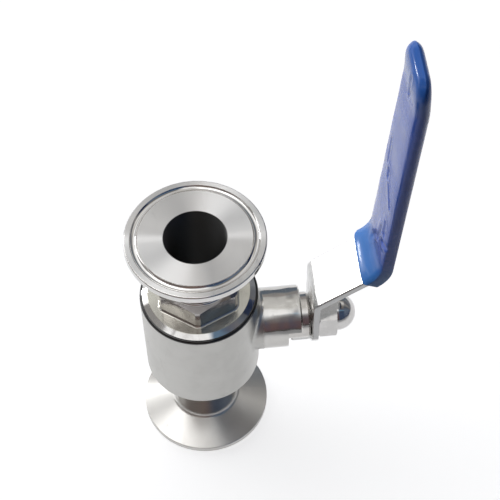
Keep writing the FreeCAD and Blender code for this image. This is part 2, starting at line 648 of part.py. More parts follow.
def make_stem():
    body = new_body("stem")
    turned(body, "Revolution", "turned_rod", [
        ("tang_start", "0"),
        ("stem_end", "0"),
        ("stem_end", "stem_end_radius"),
        ("lever_face", "stem_end_radius"),
        ("lever_face", "stem_radius"),
        ("o_ring_centre + o_ring_groove_half", "stem_radius"),
        ("o_ring_centre + o_ring_groove_half", "o_ring_groove_radius"),
        ("o_ring_centre - o_ring_groove_half", "o_ring_groove_radius"),
        ("o_ring_centre - o_ring_groove_half", "stem_radius"),
        ("collar_end", "stem_radius"),
        ("collar_end", "collar_radius"),
        ("tang_start", "collar_radius"),
    ], "H_Axis")
    dressed(body, "Chamfer", "thread_end", ring("stem_end_radius", "stem_end", "x"), "thread_height")
    tang = sketch_on(body, "tang_outline", XZ)
    outside = f"collar_radius + {OVERSHOOT}"
    rectangle(tang, f"tang_start - {OVERSHOOT}", "collar_start", "tang_half", outside)
    rectangle(tang, f"tang_start - {OVERSHOOT}", "collar_start", f"-({outside})", "-tang_half")
    pocketed(body, "tang", tang, f"2 * ({outside})", both_ways=True)
    flats = sketch_on(body, "flats_outline", XZ)
    rectangle(flats, "lever_face", f"stem_end + {OVERSHOOT}", "flat_half", "stem_radius")
    rectangle(flats, "lever_face", f"stem_end + {OVERSHOOT}", "-stem_radius", "-flat_half")
    pocketed(body, "flats", flats, "2 * stem_radius", both_ways=True)


def make_thrust_washer():
    body = new_body("thrust_washer", along_stem="washer_start")
    turned(body, "Revolution", "ring", [
        ("0", "stem_bore_radius"),
        ("thrust_washer_height", "stem_bore_radius"),
        ("thrust_washer_height", "collar_radius"),
        ("0", "collar_radius"),
    ], "H_Axis")


def make_stem_o_ring():
    ring_solid = document.addObject("Part::Torus", "stem_o_ring")
    bind(ring_solid, Radius1="o_ring_radius", Radius2="o_ring_section / 2")
    ring_solid.Placement.Rotation = FreeCAD.Rotation(FreeCAD.Vector(0, 1, 0), 90)
    seat(ring_solid, "stem_o_ring", along_stem="o_ring_centre")


def packing_ring(label, start, height, floor_rise, top_rise):
    """A ring of the packing from start outwards. Its floor and its top are Vs of the given rise,
    whose ridges point at the ball: the nested Vs spread when the gland nut presses them."""
    body = new_body(label, along_stem=start)
    turned(body, "Revolution", "ring", [
        ("v_ring_gap", "packing_inner_radius"),
        (f"v_ring_gap - {floor_rise}", "packing_middle"),
        ("v_ring_gap", "packing_radius"),
        (height, "packing_radius"),
        (f"{height} - {top_rise}", "packing_middle"),
        (height, "packing_inner_radius"),
    ], "H_Axis")


def make_packing():
    rise, pitch = "v_ring_rise", "v_ring_pitch"
    packing_ring("packing_base_ring", "chamber_floor", "packing_base_height", "0", rise)
    for number, place in enumerate(("inner", "middle", "outer")):
        start = f"v_rings_start + {number} * v_ring_pitch"
        packing_ring(f"packing_v_ring_{place}", start, pitch, rise, rise)
    packing_ring("packing_top_ring", "packing_top_start", "packing_top_height", rise, "0")


def make_gland_follower():
    body = new_body("gland_follower", along_stem="follower_start")
    turned(body, "Revolution", "ring", [
        ("v_ring_gap", "packing_inner_radius"),
        ("follower_height", "packing_inner_radius"),
        ("follower_height", "packing_radius"),
        ("v_ring_gap", "packing_radius"),
    ], "H_Axis")


def make_gland_nut():
    body = new_body("gland_nut")
    turned(body, "Revolution", "turned_nut", [
        ("gland_start", "stem_bore_radius"),
        ("gland_end", "stem_bore_radius"),
        ("gland_end", "gland_radius"),
        ("gland_start", "gland_radius"),
    ], "H_Axis")
    outer_edge = ring("gland_radius", "gland_end", "x")
    dressed(body, "Chamfer", "outer_edge", outer_edge, "gland_chamfer")
    holes = sketch_on(body, "holes_outline", YZ, "gland_end")
    circle(holes, "gland_hole_pitch", "0", "gland_hole_diameter / 2")
    circle(holes, "-gland_hole_pitch", "0", "gland_hole_diameter / 2")
    pocketed(body, "spanner_holes", holes, "gland_hole_depth")


# Lever, sleeve and nut

def lever_profile(front, back, top_x, top_z):
    """The bent strip's corners above its foot, as (x, z): up the face towards the body, over the
    tip and down the other face. front and back are distances of the two faces from the lever's
    own inner face."""
    def at_bend(distance):
        return (f"slant_top_x + {distance} * miter_x", f"slant_top_z + {distance} * miter_z")

    def at_tip(distance):
        return (f"{top_x} + {distance} * cos(grip_lean)", f"{top_z} - {distance} * sin(grip_lean)")

    return [at_bend(front), at_tip(front), at_tip(back), at_bend(back)]


def make_lever():
    body = new_body("lever")
    first_bend_back = "lever_bend_height - lever_thickness * tan(first_turn / 2)"
    bends = lever_profile("0", "lever_thickness", "grip_top_x", "lever_top")
    strip = sketch_on(body, "strip_outline", XZ)
    outline(strip, [
        ("lever_face", "-lever_half_width"),
        ("lever_face", "lever_bend_height"),
        *bends,
        ("lever_back", first_bend_back),
        ("lever_back", "-lever_half_width"),
    ])
    padded(body, "strip", strip, "lever_width", both_ways=True)
    inner_bends = any_of(crossing("lever_back", first_bend_back), crossing(*bends[0]))
    outer_bends = any_of(crossing("lever_face", "lever_bend_height"), crossing(*bends[-1]))
    dressed(body, "Fillet", "inner_bends", inner_bends, "lever_bend_radius")
    dressed(body, "Fillet", "outer_bends", outer_bends, "lever_bend_radius + lever_thickness")
    dressed(body, "Fillet", "tip_corners", tip_corner, "lever_tip_round")
    dressed(body, "Fillet", "rolled_edges", rolled_edge, "lever_edge_round")
    foot = sketch_on(body, "foot_outline", YZ, f"lever_back + {OVERSHOOT}")
    low = f"-(lever_half_width + {OVERSHOOT})"
    outline(foot, [
        ("-lever_half_width", "0", ((None, "0"), "left")),
        ("lever_half_width", "0"),
        ("lever_half_width", low),
        ("-lever_half_width", low),
    ])
    pocketed(body, "round_foot", foot, f"lever_thickness + 2 * {OVERSHOOT}")
    tab = sketch_on(body, "tab_outline", XZ)
    outline(tab, [
        ("lever_face", "0"),
        ("lever_face", "-tab_inner"),
        ("tab_tip", "-tab_inner"),
        ("tab_tip", "-tab_outer"),
        ("lever_back", "-tab_outer"),
        ("lever_back", "0"),
    ])
    padded(body, "tab", tab, "tab_width", both_ways=True)
    tab_outside = "tab_bend_radius + lever_thickness"
    dressed(body, "Fillet", "tab_inner_bend", crossing("lever_face", "-tab_inner"), "tab_bend_radius")
    dressed(body, "Fillet", "tab_outer_bend", crossing("lever_back", "-tab_outer"), tab_outside)
    dressed(body, "Fillet", "tab_corners", tab_corner, "tab_corner_round")
    hole = sketch_on(body, "hole_outline", YZ, f"lever_back + {OVERSHOOT}")
    side = "sqrt(hole_round ^ 2 - hole_flat ^ 2)"
    outline(hole, [
        (side, "-hole_flat", (("0", None), "left")),
        (side, "hole_flat"),
        (f"-{side}", "hole_flat", (("0", None), "left")),
        (f"-{side}", "-hole_flat"),
    ])
    pocketed(body, "hole", hole, f"lever_thickness + 2 * {OVERSHOOT}")


def tip_corner(edge):
    """True for the two short edges through the sheet at the lever's tip."""
    ends = [vertex.Point for vertex in edge.Vertexes]
    near_tip = all(p.z > size_of("lever_top - lever_thickness") for p in ends)
    return len(ends) == 2 and near_tip and abs(ends[0].y - ends[1].y) < TOUCH


def rolled_edge(edge):
    """True for the two long straight edges of the slanted stretch, on the face towards the body.
    The round follows them over both bends and around the tip."""
    slope = size_of("tan(lever_slant_angle)")
    foot_x, foot_z = size_of("lever_face"), size_of("lever_bend_height")
    ends = [vertex.Point for vertex in edge.Vertexes]
    on_face = all(abs(p.z - foot_z - (p.x - foot_x) * slope) < TOUCH for p in ends)
    return len(ends) == 2 and on_face and abs(ends[0].z - ends[1].z) > TOUCH


def tab_corner(edge):
    """True for the two edges through the sheet at the stop tab's tip."""
    ends = [vertex.Point for vertex in edge.Vertexes]
    at_tip = all(abs(p.x - size_of("tab_tip")) < TOUCH for p in ends)
    return at_tip and abs(ends[0].z - ends[-1].z) > size_of("lever_thickness") / 2


def make_lever_sleeve():
    """The vinyl grip: a bent pad around the lever, cut by the lever's own shape."""
    form = document.addObject("PartDesign::Body", "sleeve_form")
    bind(form, **{"Placement.Base.z": "lower_reach"})
    profile = lever_profile("-sleeve_wall", "sleeve_back_wall", "sleeve_top_x", "sleeve_top")
    side = sketch_on(form, "side_outline", XZ)
    across, along = "sin(lever_slant_angle)", "cos(lever_slant_angle)"
    foot_front = (f"sleeve_foot_x - sleeve_wall * {across}", f"sleeve_foot_z + sleeve_wall * {along}")
    foot_back = (f"sleeve_foot_x + sleeve_back_wall * {across}",
                 f"sleeve_foot_z - sleeve_back_wall * {along}")
    outline(side, [foot_front, *profile, foot_back])
    padded(form, "strip", side, "2 * sleeve_half_width", both_ways=True)
    dressed(form, "Fillet", "inner_bend", crossing(*profile[0]), "sleeve_inner_bend")
    dressed(form, "Fillet", "outer_bend", crossing(*profile[-1]), "sleeve_outer_bend")
    dressed(form, "Fillet", "tip_round", sleeve_tip_corner, "sleeve_tip_round")
    dressed(form, "Fillet", "long_edges", sleeve_long_edge, "sleeve_edge_round")
    sleeve = document.addObject("Part::Cut", "lever_sleeve")
    sleeve.Base = form
    sleeve.Tool = document.getObject("lever")
    sleeve.Label = "lever_sleeve"
    subparts.append(sleeve)


def sleeve_tip_corner(edge):
    """True for the two short edges through the sleeve at its tip."""
    start, end = edge.valueAt(edge.FirstParameter), edge.valueAt(edge.LastParameter)
    near_tip = min(start.z, end.z) > size_of("lever_top")
    through = abs(start.y - end.y) < TOUCH
    return near_tip and through and abs(start.x - end.x) > size_of("lever_thickness")


def sleeve_long_edge(edge):
    """True for the rim of the sleeve's two flat sides, except at its open foot. Along the strip
    such an edge climbs outwards; the edges through the sleeve fall outwards."""
    start, end = edge.valueAt(edge.FirstParameter), edge.valueAt(edge.LastParameter)
    across = abs(start.y - end.y)
    along_side = across < TOUCH and (start.x - end.x) * (start.z - end.z) > 0
    at_tip = min(start.z, end.z) > size_of("lever_top - sleeve_tip_round")
    return along_side or (at_tip and across > TOUCH)


def make_lock_washer():
    body = new_body("lock_washer", along_stem="lever_back")
    disc = sketch_on(body, "disc_outline", YZ)
    circle(disc, "0", "0", "washer_radius")
    circle(disc, "0", "0", "nut_thread_radius + thread_clearance")
    padded(body, "disc", disc, "lock_washer_height")
    gap = sketch_on(body, "gap_outline", YZ, "lock_washer_height")
    half = "lock_washer_gap_width / 2"
    rectangle(gap, "washer_radius - lock_washer_tooth", f"washer_radius + {OVERSHOOT}",
              f"-{half}", half)
    first_gap = pocketed(body, "gap", gap, "lock_washer_height")
    gaps = body.newObject("PartDesign::PolarPattern", "lock_washer_gaps")
    gaps.Originals = [first_gap]
    gaps.Axis = (gap, ["N_Axis"])
    gaps.Angle = 360
    bind(gaps, Occurrences="lock_washer_teeth")
    body.Tip = gaps
    document.recompute()


def make_acorn_nut():
    body = new_body("acorn_nut", along_stem="nut_start")
    hexagon_sketch = sketch_on(body, "hexagon_outline", YZ)
    hexagon(hexagon_sketch, "nut_corner_radius", "nut_hex_turn")
    padded(body, "hexagon", hexagon_sketch, "nut_hex_height")
    chamfer_start = "(nut_flat_radius + nut_chamfer_land)"
    outside = f"(nut_corner_radius + {OVERSHOOT})"
    fall = f"({outside} - {chamfer_start}) * tan(nut_chamfer_angle)"
    turned(body, "Groove", "inner_chamfer", [
        ("0", chamfer_start), ("0", outside), (fall, outside),
    ], "H_Axis")
    turned(body, "Groove", "outer_chamfer", [
        ("nut_hex_height", chamfer_start), (f"nut_hex_height - {fall}", outside),
        ("nut_hex_height", outside),
    ], "H_Axis")
    turned(body, "Revolution", "dome", [
        ("nut_hex_height / 2", "0"),
        ("nut_height", "0", ((None, "0"), "left")),
        ("dome_foot", "dome_radius"),
        ("nut_hex_height / 2", "dome_radius"),
    ], "H_Axis")
    turned(body, "Groove", "hole", [
        ("0", "0"),
        ("nut_hole_end", "0"),
        ("nut_hole_end", "nut_thread_radius"),
        ("0", "nut_thread_radius"),
    ], "H_Axis")


make_body()
make_end_cap()
make_body_seal()
make_ball()
make_seat("seat_ring_lower", -1)
make_seat("seat_ring_upper", 1)
make_stem()
make_thrust_washer()
make_stem_o_ring()
make_packing()
make_gland_follower()
make_gland_nut()
make_lever()
make_lever_sleeve()
make_lock_washer()
make_acorn_nut()
document.recompute()

# Check every object and every sub-part before anything is written

for item in document.Objects:
    if "Invalid" in item.State or "Error" in item.State:
        raise RuntimeError(f"{item.Name} failed: {item.State}")
for part in subparts:
    if part.Shape.isNull() or not part.Shape.isValid() or len(part.Shape.Solids) != 1:
        raise RuntimeError(f"{part.Label} isn't one valid solid")

os.makedirs("parts", exist_ok=True)
for part in subparts:
    part.Shape.exportStep(f"parts/{part.Label}.step")
    print(f"{part.Label:22} {part.Shape.Volume:10.1f} mm3")
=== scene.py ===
# %% [markdown]
# # A tri-clamp ball valve in polished steel
# The valve stands on its lower ferrule with its port open and its blue lever up. The solids are
# already right in shape and size, so this lesson is mostly about steel: how one metal looks
# satin, turned or like a mirror, depending on how it was worked and on what the studio lets it
# see. Only the dipped vinyl grip is modelled afresh.

# %% Load the frame
import math

import bmesh
import bpy
from mathutils import Matrix, Vector


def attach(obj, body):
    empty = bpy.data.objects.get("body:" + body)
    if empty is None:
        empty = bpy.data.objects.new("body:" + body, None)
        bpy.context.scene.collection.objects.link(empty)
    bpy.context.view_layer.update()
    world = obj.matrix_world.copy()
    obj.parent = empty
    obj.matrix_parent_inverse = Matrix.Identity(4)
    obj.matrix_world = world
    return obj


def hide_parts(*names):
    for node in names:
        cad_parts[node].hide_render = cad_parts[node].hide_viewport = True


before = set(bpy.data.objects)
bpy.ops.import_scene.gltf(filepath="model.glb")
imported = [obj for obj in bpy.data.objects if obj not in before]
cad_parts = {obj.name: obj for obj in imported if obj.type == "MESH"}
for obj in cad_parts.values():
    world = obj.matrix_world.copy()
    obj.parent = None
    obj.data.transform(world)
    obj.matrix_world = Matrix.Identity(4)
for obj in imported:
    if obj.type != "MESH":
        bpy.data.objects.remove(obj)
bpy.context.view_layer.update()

MM = 0.001
print("pieces in the frame:", len(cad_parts))

# %% [markdown]
# ## The camera
# The picture was taken from above the valve and a little to its left, with a long lens. A camera
# can be aimed with a Track To constraint, but here its place and its three angles are known, so
# its axes are written out: right, up and back, as the columns of its matrix.

# %% Camera
CAMERA_PLACE = Vector((-5.31, -276.21, 506.46)) * MM
LENS_LENGTH = 98.83
VIEW_AZIMUTH = math.radians(-5.063)
VIEW_ELEVATION = math.radians(55.351)
VIEW_ROLL = math.radians(-0.784)

level = math.cos(VIEW_ELEVATION)
back = Vector((math.sin(VIEW_AZIMUTH) * level, -math.cos(VIEW_AZIMUTH) * level,
               math.sin(VIEW_ELEVATION)))
right = Vector((math.cos(VIEW_AZIMUTH), math.sin(VIEW_AZIMUTH), 0))
up = back.cross(right)
rolled_right = math.cos(VIEW_ROLL) * right + math.sin(VIEW_ROLL) * up
rolled_up = math.cos(VIEW_ROLL) * up - math.sin(VIEW_ROLL) * right

camera_data = bpy.data.cameras.new("valve_camera")
camera_data.lens = LENS_LENGTH
camera_data.clip_start, camera_data.clip_end = 0.01, 50
camera = bpy.data.objects.new("valve_camera", camera_data)
bpy.context.scene.collection.objects.link(camera)
camera_axes = Matrix((rolled_right, rolled_up, back)).transposed().to_4x4()
camera.matrix_world = Matrix.Translation(CAMERA_PLACE) @ camera_axes
bpy.context.scene.camera = camera
bpy.context.scene.view_settings.view_transform = "Standard"
print("camera stands", round(CAMERA_PLACE.length / MM), "mm from the valve's foot")

# %% [markdown]
# ## Small helpers for nodes
# A node tree made in code is a list of "add this node, fill these sockets". A few helpers keep
# each such step on one line: they add a node, do arithmetic, ease from one value to another,
# blend, and make a ramp or a noise.

# %% Node helpers
def add_node(tree, kind, sockets=None, **options):
    """Add a node, set its options, and fill its input sockets with values or links."""
    node = tree.nodes.new(kind)
    for name, value in options.items():
        setattr(node, name, value)
    for key, value in (sockets or {}).items():
        if isinstance(value, bpy.types.NodeSocket):
            tree.links.new(value, node.inputs[key])
        else:
            node.inputs[key].default_value = value
    return node


def math_node(tree, operation, *values, clamp=False):
    node = add_node(tree, "ShaderNodeMath", dict(enumerate(values)), operation=operation)
    node.use_clamp = clamp
    return node.outputs[0]


def add_share(tree, mask, share, value):
    """The value, plus a share of the mask."""
    return math_node(tree, "MULTIPLY_ADD", mask, share, value)


def noise(tree, place, scale, detail, **others):
    """The grey of a noise texture; others are more of its sockets, such as Roughness."""
    sockets = {"Vector": place, "Scale": scale, "Detail": detail, **others}
    return add_node(tree, "ShaderNodeTexNoise", sockets).outputs[0]


def ease(tree, value, start, end):
    """0 before start, 1 after end, and a smooth step between them."""
    sockets = {"Value": value, "From Min": start, "From Max": end}
    return add_node(tree, "ShaderNodeMapRange", sockets, interpolation_type="SMOOTHSTEP").outputs[0]


def between(tree, value, low, high, soft):
    """1 where low < value < high, with soft edges."""
    rise = ease(tree, value, low - soft, low + soft)
    fall = ease(tree, value, high + soft, high - soft)
    return math_node(tree, "MULTIPLY", rise, fall)


def blend_colours(tree, share, first, second):
    node = add_node(tree, "ShaderNodeMix", data_type="RGBA")
    for socket, value in ((node.inputs[0], share), (node.inputs[6], first), (node.inputs[7], second)):
        if isinstance(value, bpy.types.NodeSocket):
            tree.links.new(value, socket)
        elif socket.type == "RGBA":
            socket.default_value = (*value, 1)
        else:
            socket.default_value = value
    return node.outputs[2]


def blend_numbers(tree, share, first, second):
    node = add_node(tree, "ShaderNodeMix", data_type="FLOAT")
    for socket, value in zip(node.inputs[0:1] + node.inputs[2:4], (share, first, second)):
        if isinstance(value, bpy.types.NodeSocket):
            tree.links.new(value, socket)
        else:
            socket.default_value = value
    return node.outputs[0]


def colour_ramp(tree, place, stops):
    """A ramp through stops of (place, colour)."""
    node = add_node(tree, "ShaderNodeValToRGB", {"Fac": place})
    ramp = node.color_ramp
    while len(ramp.elements) < len(stops):
        ramp.elements.new(1)
    for element, (position, colour) in zip(ramp.elements, stops):
        element.position = position
        element.color = (*colour, 1)
    return node.outputs["Color"]


# %% [markdown]
# ## What the steel sees
# Polished steel shows its surroundings and little of its own. The studio here has bright panels
# overhead and behind the valve on its left, and a dark room behind the camera: brown on its left,
# blue on its right. A world shader can hold all of it with no object in the way. Each ramp below
# runs over the sky in the plane of the flow, from the front horizon (0) over the top (0.5) to
# the back horizon (1). Five of them stand side by side, from the far left to the far right, and
# blend at their borders; the far left one's border is tilted. All this is what glossy rays see.
# Matt things see one softer ramp, bright on the left and dark on the right and in front, and the
# camera sees plain white.

# %% World
FAR_LEFT_SKY = [
    (0.00, (0.14, 0.11, 0.10)), (0.38, (0.20, 0.17, 0.16)), (0.40, (1.2, 1.2, 1.2)),
    (0.43, (1.2, 1.2, 1.2)), (0.45, (0.34, 0.33, 0.32)), (0.70, (0.32, 0.31, 0.30)),
    (0.75, (2.7, 2.7, 2.7)), (0.88, (2.6, 2.6, 2.6)), (0.915, (0.60, 0.61, 0.62)),
    (1.00, (0.55, 0.56, 0.57)),
]
LEFT_SKY = [
    (0.00, (0.20, 0.14, 0.12)), (0.335, (0.20, 0.15, 0.13)), (0.35, (1.2, 1.2, 1.2)),
    (0.41, (1.2, 1.2, 1.2)), (0.425, (0.22, 0.18, 0.16)), (0.44, (0.22, 0.18, 0.16)),
    (0.475, (3.4, 3.4, 3.4)), (0.55, (3.4, 3.4, 3.4)), (0.60, (1.3, 1.3, 1.3)),
    (0.72, (1.2, 1.2, 1.2)), (0.79, (0.42, 0.42, 0.42)), (0.84, (0.5, 0.5, 0.5)),
    (0.89, (1.1, 1.1, 1.1)), (1.00, (1.0, 1.0, 1.0)),
]
MIDDLE_SKY = [
    (0.00, (0.09, 0.085, 0.075)), (0.06, (0.15, 0.09, 0.09)), (0.20, (0.16, 0.11, 0.11)),
    (0.27, (0.24, 0.22, 0.22)), (0.32, (0.6, 0.6, 0.6)), (0.36, (1.3, 1.3, 1.3)),
    (0.45, (1.2, 1.2, 1.2)), (0.50, (0.82, 0.81, 0.78)), (0.60, (0.70, 0.69, 0.67)),
    (0.75, (0.66, 0.65, 0.63)), (0.79, (0.40, 0.37, 0.35)), (0.87, (0.35, 0.33, 0.32)),
    (0.905, (0.15, 0.18, 0.22)), (1.00, (0.14, 0.17, 0.21)),
]
RIGHT_SKY = [
    (0.00, (0.05, 0.07, 0.12)), (0.20, (0.06, 0.09, 0.16)), (0.30, (0.05, 0.07, 0.12)),
    (0.345, (0.20, 0.36, 0.52)), (0.37, (0.10, 0.12, 0.17)), (0.43, (0.20, 0.18, 0.17)),
    (0.50, (0.26, 0.24, 0.22)), (0.57, (0.62, 0.61, 0.59)), (0.62, (1.0, 0.99, 0.97)),
    (0.66, (0.66, 0.64, 0.61)), (0.70, (0.30, 0.29, 0.28)), (0.75, (0.15, 0.17, 0.19)),
    (0.85, (0.14, 0.17, 0.21)), (1.00, (0.11, 0.13, 0.17)),
]
FAR_RIGHT_SKY = [
    (0.00, (0.08, 0.10, 0.15)), (0.30, (0.15, 0.19, 0.26)), (0.40, (0.14, 0.17, 0.22)),
    (0.48, (0.10, 0.11, 0.13)), (0.60, (0.34, 0.33, 0.32)), (0.66, (0.15, 0.15, 0.16)),
    (0.76, (0.14, 0.15, 0.17)), (0.84, (0.26, 0.27, 0.29)), (1.00, (0.14, 0.15, 0.17)),
]
SOFT_SKY = [
    (0.00, (0.02, 0.02, 0.03)), (0.35, (0.05, 0.05, 0.06)), (0.50, (0.70, 0.71, 0.73)),
    (0.75, (1.0, 1.01, 1.03)), (1.00, (0.80, 0.80, 0.82)),
]
SOFT_LEFT = (1.8, 1.81, 1.83)
SOFT_RIGHT = (0.06, 0.06, 0.08)
SOFT_FRONT = (0.04, 0.04, 0.05)

# Where a ramp starts to give way to the next ramp or colour, and where it has. Borders are
# measured sideways, the far left one tilted, and the soft front one towards the front.
LEFT_BORDER, FAR_LEFT_BORDER = (0.02, -0.16), (-0.56, -0.60)
RIGHT_BORDER, FAR_RIGHT_BORDER = (0.06, 0.24), (0.58, 0.70)
SOFT_LEFT_BORDER, SOFT_RIGHT_BORDER, SOFT_FRONT_BORDER = (-0.1, -0.7), (0.1, 0.7), (-0.45, 0.15)
FAR_LEFT_TILT, TILTED_ABOUT = 0.6, 0.55
WANDER_SCALE, WANDER = 2.4, 0.08

world = bpy.data.worlds.new("studio")
world.use_nodes = True
world.cycles.sampling_method = "NONE"
bpy.context.scene.world = world
sky = world.node_tree
sky.nodes.clear()
direction = add_node(sky, "ShaderNodeTexCoord").outputs["Generated"]
waves = add_node(sky, "ShaderNodeTexNoise",
                 {"Vector": direction, "Scale": WANDER_SCALE, "Detail": 1.0})
shift = add_node(sky, "ShaderNodeVectorMath", {0: waves.outputs["Color"], 1: (0.5, 0.5, 0.5)},
                 operation="SUBTRACT")
shifted = add_node(sky, "ShaderNodeVectorMath",
                   {0: shift.outputs[0], 1: (WANDER, WANDER, WANDER), 2: direction},
                   operation="MULTIPLY_ADD")
parts = add_node(sky, "ShaderNodeSeparateXYZ", {0: shifted.outputs[0]})
sideways = parts.outputs["X"]
towards_front = math_node(sky, "MULTIPLY", parts.outputs["Y"], -1)
turn = math_node(sky, "ARCTAN2", parts.outputs["Z"], towards_front)
turn = math_node(sky, "DIVIDE", turn, math.pi)

sharp_sky = colour_ramp(sky, turn, MIDDLE_SKY)
tilted = add_share(sky, math_node(sky, "SUBTRACT", turn, TILTED_ABOUT), FAR_LEFT_TILT, sideways)
for ramp, across, border in (
        (LEFT_SKY, sideways, LEFT_BORDER), (FAR_LEFT_SKY, tilted, FAR_LEFT_BORDER),
        (RIGHT_SKY, sideways, RIGHT_BORDER), (FAR_RIGHT_SKY, sideways, FAR_RIGHT_BORDER)):
    sharp_sky = blend_colours(sky, ease(sky, across, *border), sharp_sky,
                              colour_ramp(sky, turn, ramp))
soft_sky = colour_ramp(sky, turn, SOFT_SKY)
for colour, across, border in (
        (SOFT_LEFT, sideways, SOFT_LEFT_BORDER), (SOFT_RIGHT, sideways, SOFT_RIGHT_BORDER),
        (SOFT_FRONT, towards_front, SOFT_FRONT_BORDER)):
    soft_sky = blend_colours(sky, ease(sky, across, *border), soft_sky, colour)
ray = add_node(sky, "ShaderNodeLightPath").outputs
sky_colour = blend_colours(sky, ray["Is Diffuse Ray"], sharp_sky, soft_sky)
sky_colour = blend_colours(sky, ray["Is Camera Ray"], sky_colour, (1, 1, 1))
studio_light = add_node(sky, "ShaderNodeBackground", {"Color": sky_colour, "Strength": 1.0})
add_node(sky, "ShaderNodeOutputWorld", {"Surface": studio_light.outputs[0]})
print("sky nodes:", len(sky.nodes))

# %% [markdown]
# ## The floor
# The floor is a plain white sheet. It is the valve's biggest reflector too: from this high camera
# every upright wall of steel shows the floor. A glow of its own keeps it as bright as an
# overexposed studio sheet, and leaves a faint shadow at the foot. The steel sees that glow fade
# towards the front. Matt things see no glow and a darker sheet.

# %% Floor
FLOOR_HALF = 4.0
CAMERA_GLOW = 0.72
STEEL_GLOW = 0.60
DIM_FROM, BRIGHT_FROM = -420 * MM, -60 * MM
SHEET_COLOUR, SHEET_FOR_MATT = (0.8, 0.8, 0.8), (0.2, 0.2, 0.2)
floor_form = bmesh.new()
bmesh.ops.create_grid(floor_form, x_segments=1, y_segments=1, size=FLOOR_HALF)
floor_mesh = bpy.data.meshes.new("floor")
floor_form.to_mesh(floor_mesh)
floor_form.free()
floor = bpy.data.objects.new("floor", floor_mesh)
bpy.context.scene.collection.objects.link(floor)

floor_finish = bpy.data.materials.new("white_sheet")
floor_finish.use_nodes = True
tree = floor_finish.node_tree
tree.nodes.clear()
path = add_node(tree, "ShaderNodeLightPath")
floor_place = add_node(tree, "ShaderNodeTexCoord").outputs["Object"]
floor_depth = add_node(tree, "ShaderNodeSeparateXYZ", {0: floor_place}).outputs["Y"]
near = ease(tree, floor_depth, DIM_FROM, BRIGHT_FROM)
steel_power = math_node(tree, "MULTIPLY", near, STEEL_GLOW)
glow_power = blend_numbers(tree, path.outputs["Is Glossy Ray"], 0.0, steel_power)
glow_power = blend_numbers(tree, path.outputs["Is Camera Ray"], glow_power, CAMERA_GLOW)
glow = add_node(tree, "ShaderNodeEmission", {"Color": (1, 1, 1, 1), "Strength": glow_power})
sheet_colour = blend_colours(tree, path.outputs["Is Diffuse Ray"], SHEET_COLOUR, SHEET_FOR_MATT)
sheet = add_node(tree, "ShaderNodeBsdfDiffuse", {"Color": sheet_colour})
together = add_node(tree, "ShaderNodeAddShader", {0: glow.outputs[0], 1: sheet.outputs[0]})
add_node(tree, "ShaderNodeOutputMaterial", {"Surface": together.outputs[0]})
floor.data.materials.append(floor_finish)
print("floor:", FLOOR_HALF * 2, "m across")

# %% [markdown]
# ## One lamp
# The sky alone gives no sparkle. One round lamp stands low behind the valve on its left. It puts
# the small white spot on the vinyl, and draws the two thin bright rays across the turned sealing
# face. Matt things and the camera don't see it.

# %% Lamp
LAMP_WAY = Vector((-0.68, 0.59, 0.42))
LAMP_DISTANCE = 1200 * MM
LAMP_RADIUS = 80 * MM
LAMP_POWER = 7.0

lamp_data = bpy.data.lights.new("side_lamp", "POINT")
lamp_data.shadow_soft_size = LAMP_RADIUS
lamp_data.energy = LAMP_POWER
lamp = bpy.data.objects.new("side_lamp", lamp_data)
lamp.location = LAMP_WAY * LAMP_DISTANCE
lamp.visible_diffuse = False
lamp.visible_camera = False
bpy.context.scene.collection.objects.link(lamp)
print("the lamp is", round(math.degrees(2 * LAMP_RADIUS / LAMP_DISTANCE), 1), "degrees wide")

# %% [markdown]
# ## Marks that the finishes share
# A lathe leaves rings, handling leaves hairlines, and polish leaves a faint unevenness. Each is a
# node group with named sockets, built once and placed, with values of its own, in every finish
# that shows it. The groups put out masks and heights only; the shader stays in the material.

# %% Group helper
def new_group(name, inputs, outputs):
    """A node group whose sockets are given as (name, kind, start value)."""
    group = bpy.data.node_groups.new(name, "ShaderNodeTree")
    for name, kind, start in inputs:
        socket = group.interface.new_socket(name, in_out="INPUT", socket_type=kind)
        socket.default_value = start
    for name in outputs:
        group.interface.new_socket(name, in_out="OUTPUT", socket_type="NodeSocketFloat")
    entry = add_node(group, "NodeGroupInput")
    return group, entry.outputs, add_node(group, "NodeGroupOutput").inputs


def fill_group(tree, group, sockets):
    """Place a group in a tree and fill its sockets with values or links."""
    node = tree.nodes.new("ShaderNodeGroup")
    node.node_tree = group
    for key, value in sockets.items():
        if isinstance(value, bpy.types.NodeSocket):
            tree.links.new(value, node.inputs[key])
        else:
            node.inputs[key].default_value = value
    return node.outputs


def radius_about(tree, place):
    """How far a place is from the Z axis."""
    flat = add_node(tree, "ShaderNodeVectorMath", {0: place, 1: (1, 1, 0)}, operation="MULTIPLY")
    return add_node(tree, "ShaderNodeVectorMath", {0: flat.outputs[0]},
                    operation="LENGTH").outputs["Value"]


# %% Turning marks
VECTOR, NUMBER = "NodeSocketVector", "NodeSocketFloat"
RING_WANDER_SCALE = 60.0
BAND_SCALE = 0.17


def make_turning_marks():
    """Rings about the Z axis of the coordinates: fine grooves, and broader bands."""
    group, given, result = new_group(
        "turning_marks", [("Place", VECTOR, (0, 0, 0)), ("Pitch", NUMBER, 0.0003)],
        ["Grooves", "Bands"])
    height = add_node(group, "ShaderNodeSeparateXYZ", {0: given["Place"]}).outputs["Z"]
    radius = radius_about(group, given["Place"])
    wander = noise(group, given["Place"], RING_WANDER_SCALE, 1.0)
    wander = math_node(group, "MULTIPLY", wander, given["Pitch"])
    rings = add_node(group, "ShaderNodeCombineXYZ", {
        0: math_node(group, "DIVIDE", math_node(group, "ADD", radius, wander), given["Pitch"]),
        1: math_node(group, "DIVIDE", height, given["Pitch"])}).outputs[0]
    group.links.new(noise(group, rings, 1.0, 3.0, Roughness=0.7), result["Grooves"])
    group.links.new(noise(group, rings, BAND_SCALE, 1.0), result["Bands"])
    return group


